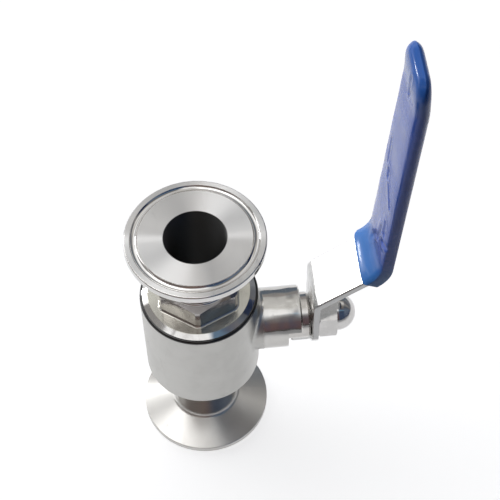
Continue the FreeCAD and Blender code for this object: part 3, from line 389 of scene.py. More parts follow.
turning_marks = make_turning_marks()
print("group:", turning_marks.name)


# %% Hairlines
SCRATCH_TURNS = ((0.3, 0.2, 0.5), (1.2, 0.7, -0.9), (-0.5, 1.1, 1.9))
SCRATCH_STRETCH = (1.0, 0.05, 0.3)
SCRATCH_WIDTH = 0.012
PATCH_SCALE = 0.6
NO_PATCHES, PATCHES_PER_SHARE = 0.75, 0.4


def make_hairlines():
    """Thin scratches in three directions, sparse where handling has left them."""
    group, given, result = new_group(
        "hairlines", [("Place", VECTOR, (0, 0, 0)), ("Spacing", NUMBER, 0.002),
                      ("Share", NUMBER, 0.3)], ["Mask"])
    total = None
    for turn in SCRATCH_TURNS:
        turned = add_node(group, "ShaderNodeMapping", {
            "Vector": given["Place"], "Rotation": turn, "Scale": SCRATCH_STRETCH}).outputs[0]
        scale = math_node(group, "DIVIDE", 1.0, given["Spacing"])
        lines = noise(group, turned, scale, 0.0)
        ridge = math_node(group, "ABSOLUTE", math_node(group, "SUBTRACT", lines, 0.5))
        line = ease(group, ridge, SCRATCH_WIDTH, 0.0)
        patch = noise(group, turned, math_node(group, "MULTIPLY", scale, PATCH_SCALE), 0.0)
        wanted = math_node(group, "MULTIPLY", given["Share"], PATCHES_PER_SHARE)
        limit = math_node(group, "SUBTRACT", NO_PATCHES, wanted)
        here = math_node(group, "GREATER_THAN", patch, limit)
        line = math_node(group, "MULTIPLY", line, here)
        total = line if total is None else math_node(group, "MAXIMUM", total, line)
    group.links.new(total, result["Mask"])
    return group


hairlines = make_hairlines()
print("group:", hairlines.name)


# %% Handling haze
CLEAN_BELOW, HAZED_ABOVE = 0.38, 0.66


def make_haze():
    """Soft uneven patches, from polishing and from hands."""
    group, given, result = new_group(
        "handling_haze", [("Place", VECTOR, (0, 0, 0)), ("Size", NUMBER, 0.01)], ["Mask"])
    scale = math_node(group, "DIVIDE", 1.0, given["Size"])
    cloud = noise(group, given["Place"], scale, 3.0, Roughness=0.6)
    group.links.new(ease(group, cloud, CLEAN_BELOW, HAZED_ABOVE), result["Mask"])
    return group


handling_haze = make_haze()
print("group:", handling_haze.name)

# %% [markdown]
# ## Starting a finish
# Each finish starts the same way: a new material, its shader, and the place of a point on the
# piece. Lathe work leaves its grooves round an axis, so a highlight is drawn out across them. The
# shader does that with its Anisotropic value, once it knows which way the grooves run: that is
# the cross product of the axis and the point's place.

# %% Start a finish
def start_finish(name, **constants):
    """A material with one Principled shader, its constants set, and the point's own place."""
    material = bpy.data.materials.new(name)
    material.use_nodes = True
    tree = material.node_tree
    tree.nodes.clear()
    shader = add_node(tree, "ShaderNodeBsdfPrincipled",
                      {key.replace("_", " "): value for key, value in constants.items()})
    add_node(tree, "ShaderNodeOutputMaterial", {"Surface": shader.outputs[0]})
    place = add_node(tree, "ShaderNodeTexCoord").outputs["Object"]
    return material, tree, shader.inputs, place


def groove_direction(tree, place, axis):
    """Which way the grooves of a piece turned about the axis run."""
    return add_node(tree, "ShaderNodeVectorMath", {0: axis, 1: place},
                    operation="CROSS_PRODUCT").outputs[0]


def bump(tree, height, strength, depth, over=None):
    """A bump map; over is the normal of a coarser one below it."""
    sockets = {"Height": height, "Strength": strength, "Distance": depth}
    if over is not None:
        sockets["Normal"] = over
    return add_node(tree, "ShaderNodeBump", sockets).outputs[0]


HAND_WAVE_SCALE = 120.0


def hand_waves(tree, place, strength, depth=0.20 * MM):
    """The slow unevenness that hand polishing leaves."""
    return bump(tree, noise(tree, place, HAND_WAVE_SCALE, 1.0), strength, depth)


def dress(node_names, material):
    """Give CAD nodes their finish."""
    for name in node_names:
        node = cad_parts[name]
        node.data.materials.clear()
        node.data.materials.append(material)
    print(material.name, "on", ", ".join(node_names))


STEM_HEIGHT = 58.8 * MM


def about_stem(tree, place):
    """The place measured from the stem's axis, turned so that the stem lies along Z."""
    centred = add_node(tree, "ShaderNodeMapping", {
        "Vector": place, "Location": (0, 0, -STEM_HEIGHT)})
    return add_node(tree, "ShaderNodeMapping", {
        "Vector": centred.outputs[0], "Rotation": (0, math.radians(-90), 0)}).outputs[0]


def grooves_about_stem(tree, place):
    """Which way the grooves run on what is turned about the stem."""
    from_stem = add_node(tree, "ShaderNodeVectorMath", {0: place, 1: (0, 0, STEM_HEIGHT)},
                         operation="SUBTRACT").outputs[0]
    return groove_direction(tree, from_stem, (1, 0, 0))


# %% [markdown]
# ## The end cap
# The cap is turned from bar and polished. Its sealing face and the flat of its rim keep the fine
# rings of the last cut, so they are satin and their highlights fan out like a bow tie. Its groove
# and its neck are as bright as mirrors. The hexagon is as smooth, but it is painted a darker grey
# that stands in for the dark things its faces reflect. The flange's flat is a little duller, and
# the inside of the port is painted dark, as painted shade. One material holds them all: masks
# made from the radius and the height say where each is.

# %% End cap finish
FACE_HEIGHT = 115.6 * MM
BORE_RADIUS = 11.35 * MM
LAND_RADIUS = 20.25 * MM
RIM_INNER, RIM_OUTER = 22.9 * MM, 24.9 * MM
FLANGE_TOP = 82.23 * MM
BEVEL_START = 19.1 * MM
HEX_FOOT, HEX_TOP = 82.9 * MM, 92.0 * MM
HEX_LAND = 12.6 * MM
CAP_EDGE = 0.1 * MM
RING_EDGE = 0.15 * MM
GROOVE_DEPTH = 0.02 * MM


def cap_finish():
    material, tree, shader, place = start_finish(
        "turned_and_polished_steel", Metallic=1.0, Anisotropic=1.0, Anisotropic_Rotation=0.25)
    height = add_node(tree, "ShaderNodeSeparateXYZ", {0: place}).outputs["Z"]
    radius = radius_about(tree, place)
    turned_rings = math_node(tree, "ADD",
                             between(tree, radius, BORE_RADIUS, LAND_RADIUS, RING_EDGE),
                             between(tree, radius, RIM_INNER, RIM_OUTER, RING_EDGE))
    land = math_node(tree, "MULTIPLY", ease(tree, height, FACE_HEIGHT, FACE_HEIGHT + CAP_EDGE),
                     turned_rings)
    flange = math_node(tree, "MULTIPLY", ease(tree, height, FLANGE_TOP + 0.3 * MM, FLANGE_TOP),
                       ease(tree, radius, BEVEL_START + CAP_EDGE, BEVEL_START - CAP_EDGE))
    painted_shade_inside = ease(tree, radius, BORE_RADIUS + CAP_EDGE, BORE_RADIUS - CAP_EDGE)
    hexagon_painted_dark = math_node(tree, "MULTIPLY", between(tree, height, HEX_FOOT, HEX_TOP, 0.2 * MM),
                        ease(tree, radius, HEX_LAND, HEX_LAND + 0.3 * MM))
    marks = fill_group(tree, turning_marks, {"Place": place, "Pitch": 0.35 * MM})
    haze = fill_group(tree, handling_haze, {"Place": place, "Size": 9 * MM})["Mask"]
    lines = fill_group(tree, hairlines, {"Place": place, "Spacing": 2.5 * MM, "Share": 0.3})["Mask"]
    steel = blend_colours(tree, haze, (0.74, 0.73, 0.72), (0.67, 0.66, 0.645))
    steel = blend_colours(tree, land, steel, (0.76, 0.755, 0.75))
    steel = blend_colours(tree, flange, steel, (0.62, 0.61, 0.55))
    # Painted reflection: the hexagon is painted a darker grey, standing in for the dark things its
    # faces reflect.
    steel = blend_colours(tree, hexagon_painted_dark, steel, (0.46, 0.44, 0.43))
    # Painted shade: inside the port the steel is painted a dark grey, as if it lay in shade.
    steel = blend_colours(tree, painted_shade_inside, steel, (0.12, 0.12, 0.12))
    tree.links.new(steel, shader["Base Color"])
    tree.links.new(blend_numbers(tree, painted_shade_inside, 1.0, 0.4), shader["Metallic"])
    polished = add_share(tree, haze, 0.05, 0.05)
    turned = add_share(tree, marks["Bands"], 0.06, 0.30)
    rough = blend_numbers(tree, land, polished, turned)
    rough = blend_numbers(tree, flange, rough, 0.14)
    rough = blend_numbers(tree, painted_shade_inside, rough, 0.5)
    rough = add_share(tree, lines, 0.12, rough)
    tree.links.new(rough, shader["Roughness"])
    depth = blend_numbers(tree, land, 0.03, 0.30)
    polish = math_node(tree, "SUBTRACT", 1.0, land)
    waves = hand_waves(tree, place, polish)
    tree.links.new(bump(tree, marks["Grooves"], depth, GROOVE_DEPTH, waves), shader["Normal"])
    tree.links.new(groove_direction(tree, place, (0, 0, 1)), shader["Tangent"])
    return material


dress(["end_cap"], cap_finish())

# %% [markdown]
# ## The body
# The barrel is satin: fine turning marks, seen as a soft grey. The boss and the lower neck are
# polished, and the lower ferrule is satin without waves. The joint under the cap's flange is
# painted as a near-black ring of shade, and the inside of the cavity is painted darker, as
# painted shade. The boss is turned about the stem and not about the flow, so the marks and the
# groove direction change there, and its waves are deeper.

# %% Body finish
BOSS_START = 22.6 * MM
BARREL_FOOT = 36.9 * MM
FOOT_TOP = 9.0 * MM
BARREL_TOP = 79.7 * MM
JOINT_TOP = 81.2 * MM
CAVITY_RADIUS = 20.2 * MM
BOSS_FADE, BARREL_EDGE, FOOT_EDGE, JOINT_EDGE = 1.4 * MM, 0.3 * MM, 0.5 * MM, 0.2 * MM
BODY_WAVES, BOSS_WAVES = 0.15 * MM, 0.60 * MM


def body_finish():
    material, tree, shader, place = start_finish(
        "satin_barrel_steel", Metallic=1.0, Anisotropic=0.6, Anisotropic_Rotation=0.25)
    split = add_node(tree, "ShaderNodeSeparateXYZ", {0: place})
    radius = radius_about(tree, place)
    boss = ease(tree, split.outputs["X"], BOSS_START, BOSS_START + BOSS_FADE)
    high = ease(tree, split.outputs["Z"], BARREL_FOOT - BARREL_EDGE, BARREL_FOOT)
    boss = math_node(tree, "MULTIPLY", boss, high)
    barrel = between(tree, split.outputs["Z"], BARREL_FOOT, BARREL_TOP, BARREL_EDGE)
    barrel = math_node(tree, "MULTIPLY", barrel, math_node(tree, "SUBTRACT", 1.0, boss))
    painted_shade_inside = ease(tree, radius, CAVITY_RADIUS + BARREL_EDGE, CAVITY_RADIUS)
    painted_shade_inside = math_node(tree, "MULTIPLY", painted_shade_inside, high)
    foot = ease(tree, split.outputs["Z"], FOOT_TOP + FOOT_EDGE, FOOT_TOP - FOOT_EDGE)
    painted_shade_joint = between(tree, split.outputs["Z"], BARREL_TOP, JOINT_TOP, JOINT_EDGE)
    marks = fill_group(tree, turning_marks, {"Place": place, "Pitch": 0.4 * MM})
    boss_marks = fill_group(tree, turning_marks, {"Place": about_stem(tree, place),
                                                  "Pitch": 0.5 * MM})
    haze = fill_group(tree, handling_haze, {"Place": place, "Size": 14 * MM})["Mask"]
    lines = fill_group(tree, hairlines, {"Place": place, "Spacing": 3.0 * MM, "Share": 0.35})["Mask"]
    steel = blend_colours(tree, haze, (0.66, 0.65, 0.63), (0.61, 0.60, 0.58))
    satin = blend_colours(tree, haze, (0.57, 0.565, 0.545), (0.53, 0.525, 0.505))
    steel = blend_colours(tree, barrel, steel, satin)
    # Painted shade: a near-black ring is painted where the crevice under the cap's flange lies in
    # shade.
    steel = blend_colours(tree, painted_shade_joint, steel, (0.06, 0.06, 0.06))
    # Painted shade: the inside of the cavity is painted darker, as if it lay in shade.
    steel = blend_colours(tree, painted_shade_inside, steel, (0.30, 0.30, 0.30))
    tree.links.new(steel, shader["Base Color"])
    polished = add_share(tree, haze, 0.05, 0.09)
    polished = blend_numbers(tree, foot, polished, 0.30)
    satin_rough = add_share(tree, marks["Bands"], 0.10, 0.27)
    rough = blend_numbers(tree, barrel, polished, satin_rough)
    rough = add_share(tree, lines, 0.12, rough)
    tree.links.new(rough, shader["Roughness"])
    grooves = blend_numbers(tree, boss, marks["Grooves"], boss_marks["Grooves"])
    depth = blend_numbers(tree, barrel, 0.06, 0.25)
    polish = math_node(tree, "SUBTRACT", 1.0, math_node(tree, "MAXIMUM", barrel, foot))
    waves = hand_waves(tree, place, polish, blend_numbers(tree, boss, BODY_WAVES, BOSS_WAVES))
    tree.links.new(bump(tree, grooves, depth, GROOVE_DEPTH, waves), shader["Normal"])
    way = add_node(tree, "ShaderNodeMix", data_type="VECTOR")
    tree.links.new(boss, way.inputs[0])
    tree.links.new(groove_direction(tree, place, (0, 0, 1)), way.inputs[4])
    tree.links.new(grooves_about_stem(tree, place), way.inputs[5])
    tree.links.new(way.outputs[1], shader["Tangent"])
    return material


dress(["body"], body_finish())

# %% [markdown]
# ## Gland nut, stem and the small turned parts
# They are turned about the stem. The two nuts and the lock washer are polished, and the stem and
# the follower are ground, which leaves them duller.

# %% Stem-side finishes
def stem_side_finish(name, light, dark, rough, pitch):
    """Steel turned about the stem; dark is its colour where it is hazed."""
    material, tree, shader, place = start_finish(
        name, Metallic=1.0, Anisotropic=0.5, Anisotropic_Rotation=0.25)
    marks = fill_group(tree, turning_marks, {"Place": about_stem(tree, place), "Pitch": pitch})
    haze = fill_group(tree, handling_haze, {"Place": place, "Size": 5 * MM})["Mask"]
    lines = fill_group(tree, hairlines, {"Place": place, "Spacing": 1.5 * MM, "Share": 0.3})["Mask"]
    tree.links.new(blend_colours(tree, haze, light, dark), shader["Base Color"])
    banded = add_share(tree, marks["Bands"], 0.08, rough)
    tree.links.new(add_share(tree, lines, 0.15, banded), shader["Roughness"])
    waves = hand_waves(tree, place, 0.6)
    tree.links.new(bump(tree, marks["Grooves"], 0.12, GROOVE_DEPTH, waves), shader["Normal"])
    tree.links.new(grooves_about_stem(tree, place), shader["Tangent"])
    return material


dress(["gland_nut"], stem_side_finish("polished_gland_steel", (0.64, 0.62, 0.60),
                                      (0.56, 0.54, 0.52), 0.10, 0.4 * MM))
dress(["stem", "gland_follower"], stem_side_finish("ground_stem_steel", (0.60, 0.59, 0.57),
                                                   (0.52, 0.51, 0.50), 0.2, 0.2 * MM))
dress(["acorn_nut", "lock_washer"], stem_side_finish("polished_nut_steel", (0.66, 0.65, 0.64),
                                                     (0.60, 0.59, 0.58), 0.07, 0.5 * MM))


# %% [markdown]
# ## The ball
# The ball is ground round and polished all over, so that it turns lightly in its seats. Its bore
# is painted darker, as painted shade.

# %% Ball finish
BALL_BORE = 11.1 * MM
BALL_BORE_EDGE = 0.2 * MM


def ball_finish():
    material, tree, shader, place = start_finish("mirror_ball_steel", Metallic=1.0)
    haze = fill_group(tree, handling_haze, {"Place": place, "Size": 8 * MM})["Mask"]
    lines = fill_group(tree, hairlines, {"Place": place, "Spacing": 2.0 * MM, "Share": 0.3})["Mask"]
    painted_shade_inside = ease(tree, radius_about(tree, place), BALL_BORE + BALL_BORE_EDGE, BALL_BORE)
    steel = blend_colours(tree, haze, (0.70, 0.69, 0.68), (0.64, 0.63, 0.62))
    # Painted shade: the bore is painted a darker grey, as if it lay in shade.
    tree.links.new(blend_colours(tree, painted_shade_inside, steel, (0.25, 0.25, 0.25)), shader["Base Color"])
    rough = add_share(tree, haze, 0.04, 0.05)
    tree.links.new(add_share(tree, lines, 0.15, rough), shader["Roughness"])
    return material


dress(["ball"], ball_finish())


# %% [markdown]
# ## The lever
# The lever is cut from rolled sheet and bent. Its flat sides are smooth with a faint grain along
# the strip, and its cut edges are darker and rougher, with the small tears of the cut.

# %% Lever finish
LEVER_SIDE = 10.35 * MM
SIDE_EDGE = 0.15 * MM
ALONG_THE_STRIP = (0.06, 1.0, 0.06)
GRAIN_SCALE, TEAR_SCALE = 3500.0, 900.0


def lever_finish():
    material, tree, shader, place = start_finish("rolled_lever_steel", Metallic=1.0)
    width = add_node(tree, "ShaderNodeSeparateXYZ", {0: place}).outputs["Y"]
    side = ease(tree, math_node(tree, "ABSOLUTE", width), LEVER_SIDE - SIDE_EDGE, LEVER_SIDE)
    drawn_out = add_node(tree, "ShaderNodeMapping", {"Vector": place, "Scale": ALONG_THE_STRIP})
    grain = noise(tree, drawn_out.outputs[0], GRAIN_SCALE, 2.0)
    tear = noise(tree, place, TEAR_SCALE, 3.0)
    haze = fill_group(tree, handling_haze, {"Place": place, "Size": 6 * MM})["Mask"]
    lines = fill_group(tree, hairlines, {"Place": place, "Spacing": 2.0 * MM, "Share": 0.5})["Mask"]
    steel = blend_colours(tree, haze, (0.72, 0.72, 0.71), (0.66, 0.66, 0.655))
    steel = blend_colours(tree, side, steel, (0.50, 0.50, 0.50))
    tree.links.new(steel, shader["Base Color"])
    flat = add_share(tree, haze, 0.08, 0.20)
    rough = blend_numbers(tree, side, flat, 0.38)
    tree.links.new(add_share(tree, lines, 0.15, rough), shader["Roughness"])
    height = blend_numbers(tree, side, grain, tear)
    tree.links.new(bump(tree, height, 0.15, GROOVE_DEPTH), shader["Normal"])
    return material


dress(["lever"], lever_finish())


# %% [markdown]
# ## Seals
# The seats, the body's seal, the packing and the thrust washer are white PTFE, waxy and faintly
# mottled. The O-ring is plain black rubber with a dull skin.

# %% Seal finishes
RUBBER_SKIN_SCALE = 4000.0


def ptfe_finish():
    material, tree, shader, place = start_finish("waxy_ptfe", Subsurface_Weight=0.05)
    haze = fill_group(tree, handling_haze, {"Place": place, "Size": 3 * MM})["Mask"]
    marks = fill_group(tree, turning_marks, {"Place": place, "Pitch": 0.25 * MM})
    tree.links.new(blend_colours(tree, haze, (0.88, 0.88, 0.86), (0.80, 0.80, 0.77)),
                   shader["Base Color"])
    tree.links.new(add_share(tree, haze, 0.15, 0.38), shader["Roughness"])
    tree.links.new(bump(tree, marks["Grooves"], 0.2, GROOVE_DEPTH), shader["Normal"])
    return material


def rubber_finish():
    material, tree, shader, place = start_finish("black_o_ring_rubber")
    haze = fill_group(tree, handling_haze, {"Place": place, "Size": 1.5 * MM})["Mask"]
    skin = noise(tree, place, RUBBER_SKIN_SCALE, 2.0)
    tree.links.new(blend_colours(tree, haze, (0.022, 0.022, 0.023), (0.045, 0.045, 0.046)),
                   shader["Base Color"])
    tree.links.new(add_share(tree, haze, 0.2, 0.45), shader["Roughness"])
    tree.links.new(bump(tree, skin, 0.2, GROOVE_DEPTH), shader["Normal"])
    return material


dress(["body_seal", "seat_ring_lower", "seat_ring_upper", "thrust_washer", "packing_base_ring",
       "packing_v_ring_inner", "packing_v_ring_middle", "packing_v_ring_outer", "packing_top_ring"],
      ptfe_finish())
dress(["stem_o_ring"], rubber_finish())

# %% [markdown]
# ## The vinyl grip
# The grip is a coat of soft vinyl: the bent lever is dipped, and the vinyl runs round its edges
# and sags a little before it sets. It could be grown from the lever with a Solidify modifier, but
# its rounded tip and its creases would be hard to place. So a straight bar is shaped first, as
# flat as the strip and its coat, with a round tip and rounded long edges, and then it is bent
# along the lever's own line. The bar's X is its thickness, its Y its width, its Z its length.

# %% Grip sizes
LEVER_FACE_X = 41.6038 * MM
BEND_HEIGHT = 20.0 * MM
SLANT_REACH = 23.8 * MM
SLANT = math.radians(38.5)
LEAN = math.radians(3.45)
SHEET = 2.4 * MM
GRIP_WALL = 1.65 * MM
MOUTH_WALL = 1.25 * MM
GRIP_WIDTH = 24.6 * MM
GRIP_BEFORE_BEND = 8.2 * MM
OUTER_BEFORE_BEND = 5.0 * MM
LEVER_TOP, TIP_COAT = 136.5 * MM, 2.55 * MM
GRIP_TOP = LEVER_TOP + TIP_COAT
TIP_ROUND = 7.0 * MM
MOUTH_ROUND = 1.6 * MM
EDGE_ROUND = 2.8 * MM
LIP_ROUND = 0.45 * MM
LIP_WIDTH, SLOT_TAPER, SLOT_DEPTH = 1.0 * MM, 0.02 * MM, 2.0 * MM
INNER_BEND = 12.0 * MM
OUTER_BEND = 13.0 * MM
JOIN_HEIGHT = 20.0 * MM
TIP_SAG = 1.25 * MM
TIP_SAG_REACH = 16.0 * MM
EDGE_THINNING = 0.30
TIP_THINNING = 0.05
TIP_SLOPE = 1.7 * MM
TIP_SLOPE_REACH = 10.0 * MM
TIP_SLOPE_FULLNESS = 0.98
TIP_ARCH = 2.5 * MM
TINY = 1e-6

bend_corner = Vector((LEVER_FACE_X + SLANT_REACH, 0,
                      STEM_HEIGHT + BEND_HEIGHT + SLANT_REACH * math.tan(SLANT)))
slant_way = Vector((math.cos(SLANT), 0, math.sin(SLANT)))
slant_out = Vector((math.sin(SLANT), 0, -math.cos(SLANT)))
grip_way = Vector((math.sin(LEAN), 0, math.cos(LEAN)))
grip_out = Vector((math.cos(LEAN), 0, -math.sin(LEAN)))
bend_turn = math.radians(90) - SLANT - LEAN
above_corner = (STEM_HEIGHT + GRIP_TOP - bend_corner.z) / math.cos(LEAN)
grip_thickness = SHEET + 2 * GRIP_WALL


# %% The grip's two sides
def make_side(out, mouth_out, before_bend, radius):
    """One side of the grip as four stretches: mouth, bend, up to the join, up to the tip."""
    corner = bend_corner + (slant_out + grip_out) * out / (1 + math.cos(bend_turn))
    reach = radius * math.tan(bend_turn / 2)
    mouth = bend_corner - slant_way * before_bend + slant_out * mouth_out
    turn_in = corner - slant_way * reach
    turn_out = corner + grip_way * reach
    join = bend_corner + grip_way * JOIN_HEIGHT + grip_out * out
    top = bend_corner + grip_way * above_corner + grip_out * out
    centre = turn_in - slant_out * radius

    def arc(share):
        return centre + Matrix.Rotation(-bend_turn * share, 3, "Y") @ (slant_out * radius)

    stretches = [lambda share: mouth.lerp(turn_in, share), arc,
                 lambda share: turn_out.lerp(join, share), lambda share: join.lerp(top, share)]
    lengths = [(turn_in - mouth).length, bend_turn * radius, (join - turn_out).length,
               (top - join).length]
    return stretches, lengths


inner_side, inner_lengths = make_side(-GRIP_WALL, -GRIP_WALL, GRIP_BEFORE_BEND, INNER_BEND)
outer_side, outer_lengths = make_side(SHEET + GRIP_WALL, SHEET + MOUTH_WALL,
                                      OUTER_BEFORE_BEND, OUTER_BEND)
lengths = [(first + second) / 2 for first, second in zip(inner_lengths, outer_lengths)]
marks_along = [sum(lengths[:n]) for n in range(len(lengths) + 1)]
grip_length = marks_along[-1]
print("the straight bar is", round(grip_length / MM, 1), "mm long, its stretches end at",
      [round(mark / MM, 1) for mark in marks_along])


# %% Grip bar
def cut_across(bm, axis, places):
    """Cut the whole form by planes across an axis."""
    for place in places:
        point, normal = [0, 0, 0], [0, 0, 0]
        point[axis], normal[axis] = place, 1
        geometry = bm.verts[:] + bm.edges[:] + bm.faces[:]
        bmesh.ops.bisect_plane(bm, geom=geometry, plane_co=point, plane_no=normal, dist=1e-7)


def steps(start, end, count):
    """Places that split a stretch into equal parts."""
    return [start + (end - start) * n / count for n in range(count + 1)]


def beside_broad_face(edge):
    """True for an edge between one of the bar's two broad faces and its rim."""
    first, second = edge.link_faces
    across = abs(edge.verts[0].co.x - edge.verts[1].co.x)
    return across < TINY and abs(first.normal.x) + abs(second.normal.x) > 0.9


def make_grip_bar():
    """The straight bar, with its tip, its mouth's corners and its long edges rounded."""
    bm = bmesh.new()
    bmesh.ops.create_cube(bm, size=1)
    bmesh.ops.scale(bm, vec=(grip_thickness, GRIP_WIDTH, grip_length), verts=bm.verts)
    bmesh.ops.translate(bm, vec=(SHEET / 2, 0, grip_length / 2), verts=bm.verts)
    tip_edges = [e for e in bm.edges if all(v.co.z > grip_length / 2 for v in e.verts)
                 and abs(e.verts[0].co.x - e.verts[1].co.x) > SHEET]
    mouth_edges = [e for e in bm.edges if all(v.co.z < grip_length / 2 for v in e.verts)
                   and abs(e.verts[0].co.x - e.verts[1].co.x) > SHEET]
    for corners, radius, segments in ((tip_edges, TIP_ROUND, 14), (mouth_edges, MOUTH_ROUND, 5)):
        bmesh.ops.bevel(bm, geom=corners, offset=radius, segments=segments, affect="EDGES",
                        profile=0.5, material=-1)
    rim = [e for e in bm.edges if beside_broad_face(e)
           and max(v.co.z for v in e.verts) > MOUTH_ROUND]
    bmesh.ops.bevel(bm, geom=rim, offset=EDGE_ROUND, segments=8, affect="EDGES", profile=0.5,
                    material=-1)
    return bm


def open_the_mouth(bm):
    """Sink the strip's slot into the bar's lower end, and round the lip."""
    bm.normal_update()
    lip = [e for e in bm.edges if beside_broad_face(e)
           and max(v.co.z for v in e.verts) < MOUTH_ROUND + TINY]
    bmesh.ops.bevel(bm, geom=lip, offset=LIP_ROUND, segments=3, affect="EDGES", profile=0.5,
                    material=-1)
    end = min(bm.faces, key=lambda f: (round(f.calc_center_median().z, 7), -f.calc_area()))
    bmesh.ops.inset_individual(bm, faces=[end], thickness=LIP_WIDTH, depth=0)
    bmesh.ops.inset_individual(bm, faces=[end], thickness=SLOT_TAPER, depth=-SLOT_DEPTH)


CUTS_ALONG, CUTS_ACROSS = 260, 48
FIRST_CUT, LAST_CUT = 0.9 * MM, grip_length - 1 * MM
FLAT_HALF = 9.6 * MM

grip_form = make_grip_bar()
open_the_mouth(grip_form)
cut_across(grip_form, 2, steps(FIRST_CUT, LAST_CUT, CUTS_ALONG))
cut_across(grip_form, 1, steps(-FLAT_HALF, FLAT_HALF, CUTS_ACROSS))
print("bar:", len(grip_form.verts), "points")


# %% [markdown]
# ## Bending and creasing the grip
# Every point of the bar is carried to the lever's line. First the bar is made thinner towards its
# long edges and its tip, and the tip sinks a little towards the valve. The coat is thicker inside
# the bend and thinner outside it, so the two sides are guides of their own, and a point between
# them goes to the same share of the way across. Last, the broad face towards the valve is pressed
# in: by creases like the real grip's, all along it, by the slow waves of a dipped skin, and by
# the slope that rounds it off at the tip. Each crease is a line from one place (Y, Z) in
# millimetres to another, with its depth and its width, and a low ridge runs beside it.

# %% Bend the grip
def side_point(side, along):
    """The place on one side, this far along the bar."""
    last = len(lengths) - 1
    n = next((n for n in range(last) if along < marks_along[n + 1]), last)
    return side[n]((along - marks_along[n]) / lengths[n])


CREASES = [
    ((-3.2, 117.0), (-1.8, 109.0), 0.42, 0.95), ((-7.0, 113.4), (-11.2, 115.2), 0.48, 0.95),
    ((3.8, 102.1), (0.5, 108.0), 0.34, 1.00), ((5.9, 154.0), (4.9, 144.0), 0.20, 0.80),
    ((1.9, 142.8), (1.4, 139.8), 0.34, 0.95), ((-1.4, 138.2), (-6.9, 133.4), 0.28, 0.90),
    ((-2.7, 193.0), (-1.6, 185.0), 0.26, 0.90), ((-6.4, 124.0), (-7.4, 118.5), 0.30, 0.90),
]
WAVE_HEIGHT = 0.06 * MM
SHORT_WAVE, SHORT_WAVE_SLANT = 4.1 * MM, 60
LONG_WAVE, LONG_WAVE_SLANT = 9.7 * MM, 110
RIDGE_HEIGHT, RIDGE_AWAY = 0.35, 2.2


def pressed_in(y, z):
    """How deep the creases and the slow waves leave the broad face at one place."""
    depth = WAVE_HEIGHT * (math.sin(z / SHORT_WAVE + SHORT_WAVE_SLANT * y)
                           * math.cos(z / LONG_WAVE - LONG_WAVE_SLANT * y))
    here = Vector((y, z))
    for start, end, deep, wide in CREASES:
        first, last = Vector(start) * MM, Vector(end) * MM
        line = last - first
        share = min(1, max(0, (here - first).dot(line) / line.length_squared))
        away = (here - first - line * share).length / (wide * MM)
        ridge = RIDGE_HEIGHT * math.exp(-((away - RIDGE_AWAY) ** 2))
        depth += deep * MM * (math.exp(-away * away) - ridge)
    return depth


def smooth(share):
    """A share from 0 to 1, made to start and end gently."""
    share = min(1, max(0, share))
    return share * share * (3 - 2 * share)


def bent(point):
    """A point of the straight bar, carried to its place along the bent lever."""
    out, y, along = point
    crown = 1 - EDGE_THINNING * (abs(y) / (GRIP_WIDTH / 2)) ** 4
    crown *= 1 - TIP_THINNING * smooth((along - grip_length + TIP_ROUND) / TIP_ROUND)
    out = SHEET / 2 + (out - SHEET / 2) * crown
    out -= TIP_SAG * smooth((along - grip_length + TIP_SAG_REACH) / TIP_SAG_REACH)
    across = (out + GRIP_WALL) / grip_thickness
    place = side_point(inner_side, along).lerp(side_point(outer_side, along), across)
    inner = smooth(1 - 2 * across)
    slope_start = grip_length - TIP_SLOPE_REACH
    arch = TIP_ARCH * (y / (GRIP_WIDTH / 2)) ** 2
    rise = min(1, max(0, (along + arch - slope_start) / TIP_SLOPE_REACH))
    slope = TIP_SLOPE * (1 - math.sqrt(1 - TIP_SLOPE_FULLNESS * rise * rise))
    depth = pressed_in(y, place.z) + slope
    return place + grip_out * (depth * inner) + Vector((0, y, 0))


for vertex in grip_form.verts:
    vertex.co = bent(vertex.co)
bmesh.ops.recalc_face_normals(grip_form, faces=grip_form.faces)
for face in grip_form.faces:
    face.smooth = True
grip_mesh = bpy.data.meshes.new("vinyl_grip")
grip_form.to_mesh(grip_mesh)
grip_form.free()
vinyl_grip = bpy.data.objects.new("vinyl_grip", grip_mesh)
bpy.context.scene.collection.objects.link(vinyl_grip)
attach(vinyl_grip, "stem_and_lever")
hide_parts("lever_sleeve")
print("grip:", len(grip_mesh.polygons), "faces, up to",
      round(max(v.co.z for v in grip_mesh.vertices) / MM, 2), "mm")


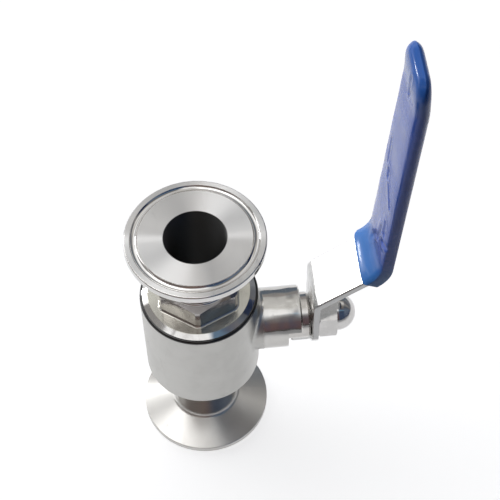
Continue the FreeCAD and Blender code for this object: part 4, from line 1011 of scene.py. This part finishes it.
# %% [markdown]
# ## The vinyl's colour
# The vinyl is a clear-coated blue, brighter at the mouth where the coat is thin, and a little
# greener at the tip where it has pooled. The steel beside it shows it much darker than it looks
# from the front, and a Light Path node gives it that darker blue in reflections only.

# %% Vinyl finish
THIN_TOP, THIN_FOOT = 108 * MM, 96 * MM
POOL_FOOT, POOL_TOP = 180 * MM, 196 * MM
VINYL_BLUE, HAZED_BLUE = (0.055, 0.155, 0.74), (0.065, 0.175, 0.80)
THIN_BLUE, POOLED_BLUE = (0.09, 0.34, 0.95), (0.04, 0.19, 0.72)
BLUE_IN_STEEL = (0.010, 0.035, 0.12)
VINYL_SKIN_SCALE = 70.0


def vinyl_finish():
    material, tree, shader, place = start_finish(
        "dipped_blue_vinyl", Coat_Weight=0.4, Coat_Roughness=0.07, Specular_IOR_Level=0.12)
    height = add_node(tree, "ShaderNodeSeparateXYZ", {0: place}).outputs["Z"]
    haze = fill_group(tree, handling_haze, {"Place": place, "Size": 12 * MM})["Mask"]
    lines = fill_group(tree, hairlines, {"Place": place, "Spacing": 3.0 * MM, "Share": 0.3})["Mask"]
    thin = ease(tree, height, THIN_TOP, THIN_FOOT)
    pooled = ease(tree, height, POOL_FOOT, POOL_TOP)
    blue = blend_colours(tree, haze, VINYL_BLUE, HAZED_BLUE)
    blue = blend_colours(tree, thin, blue, THIN_BLUE)
    blue = blend_colours(tree, pooled, blue, POOLED_BLUE)
    in_steel = add_node(tree, "ShaderNodeLightPath").outputs["Is Glossy Ray"]
    blue = blend_colours(tree, in_steel, blue, BLUE_IN_STEEL)
    tree.links.new(blue, shader["Base Color"])
    rough = add_share(tree, haze, 0.08, 0.20)
    tree.links.new(add_share(tree, lines, 0.15, rough), shader["Roughness"])
    skin = noise(tree, place, VINYL_SKIN_SCALE, 0.0)
    tree.links.new(bump(tree, skin, 0.35, 0.2 * MM), shader["Normal"])
    return material


vinyl_grip.data.materials.append(vinyl_finish())
print("grip finish:", vinyl_grip.data.materials[0].name)
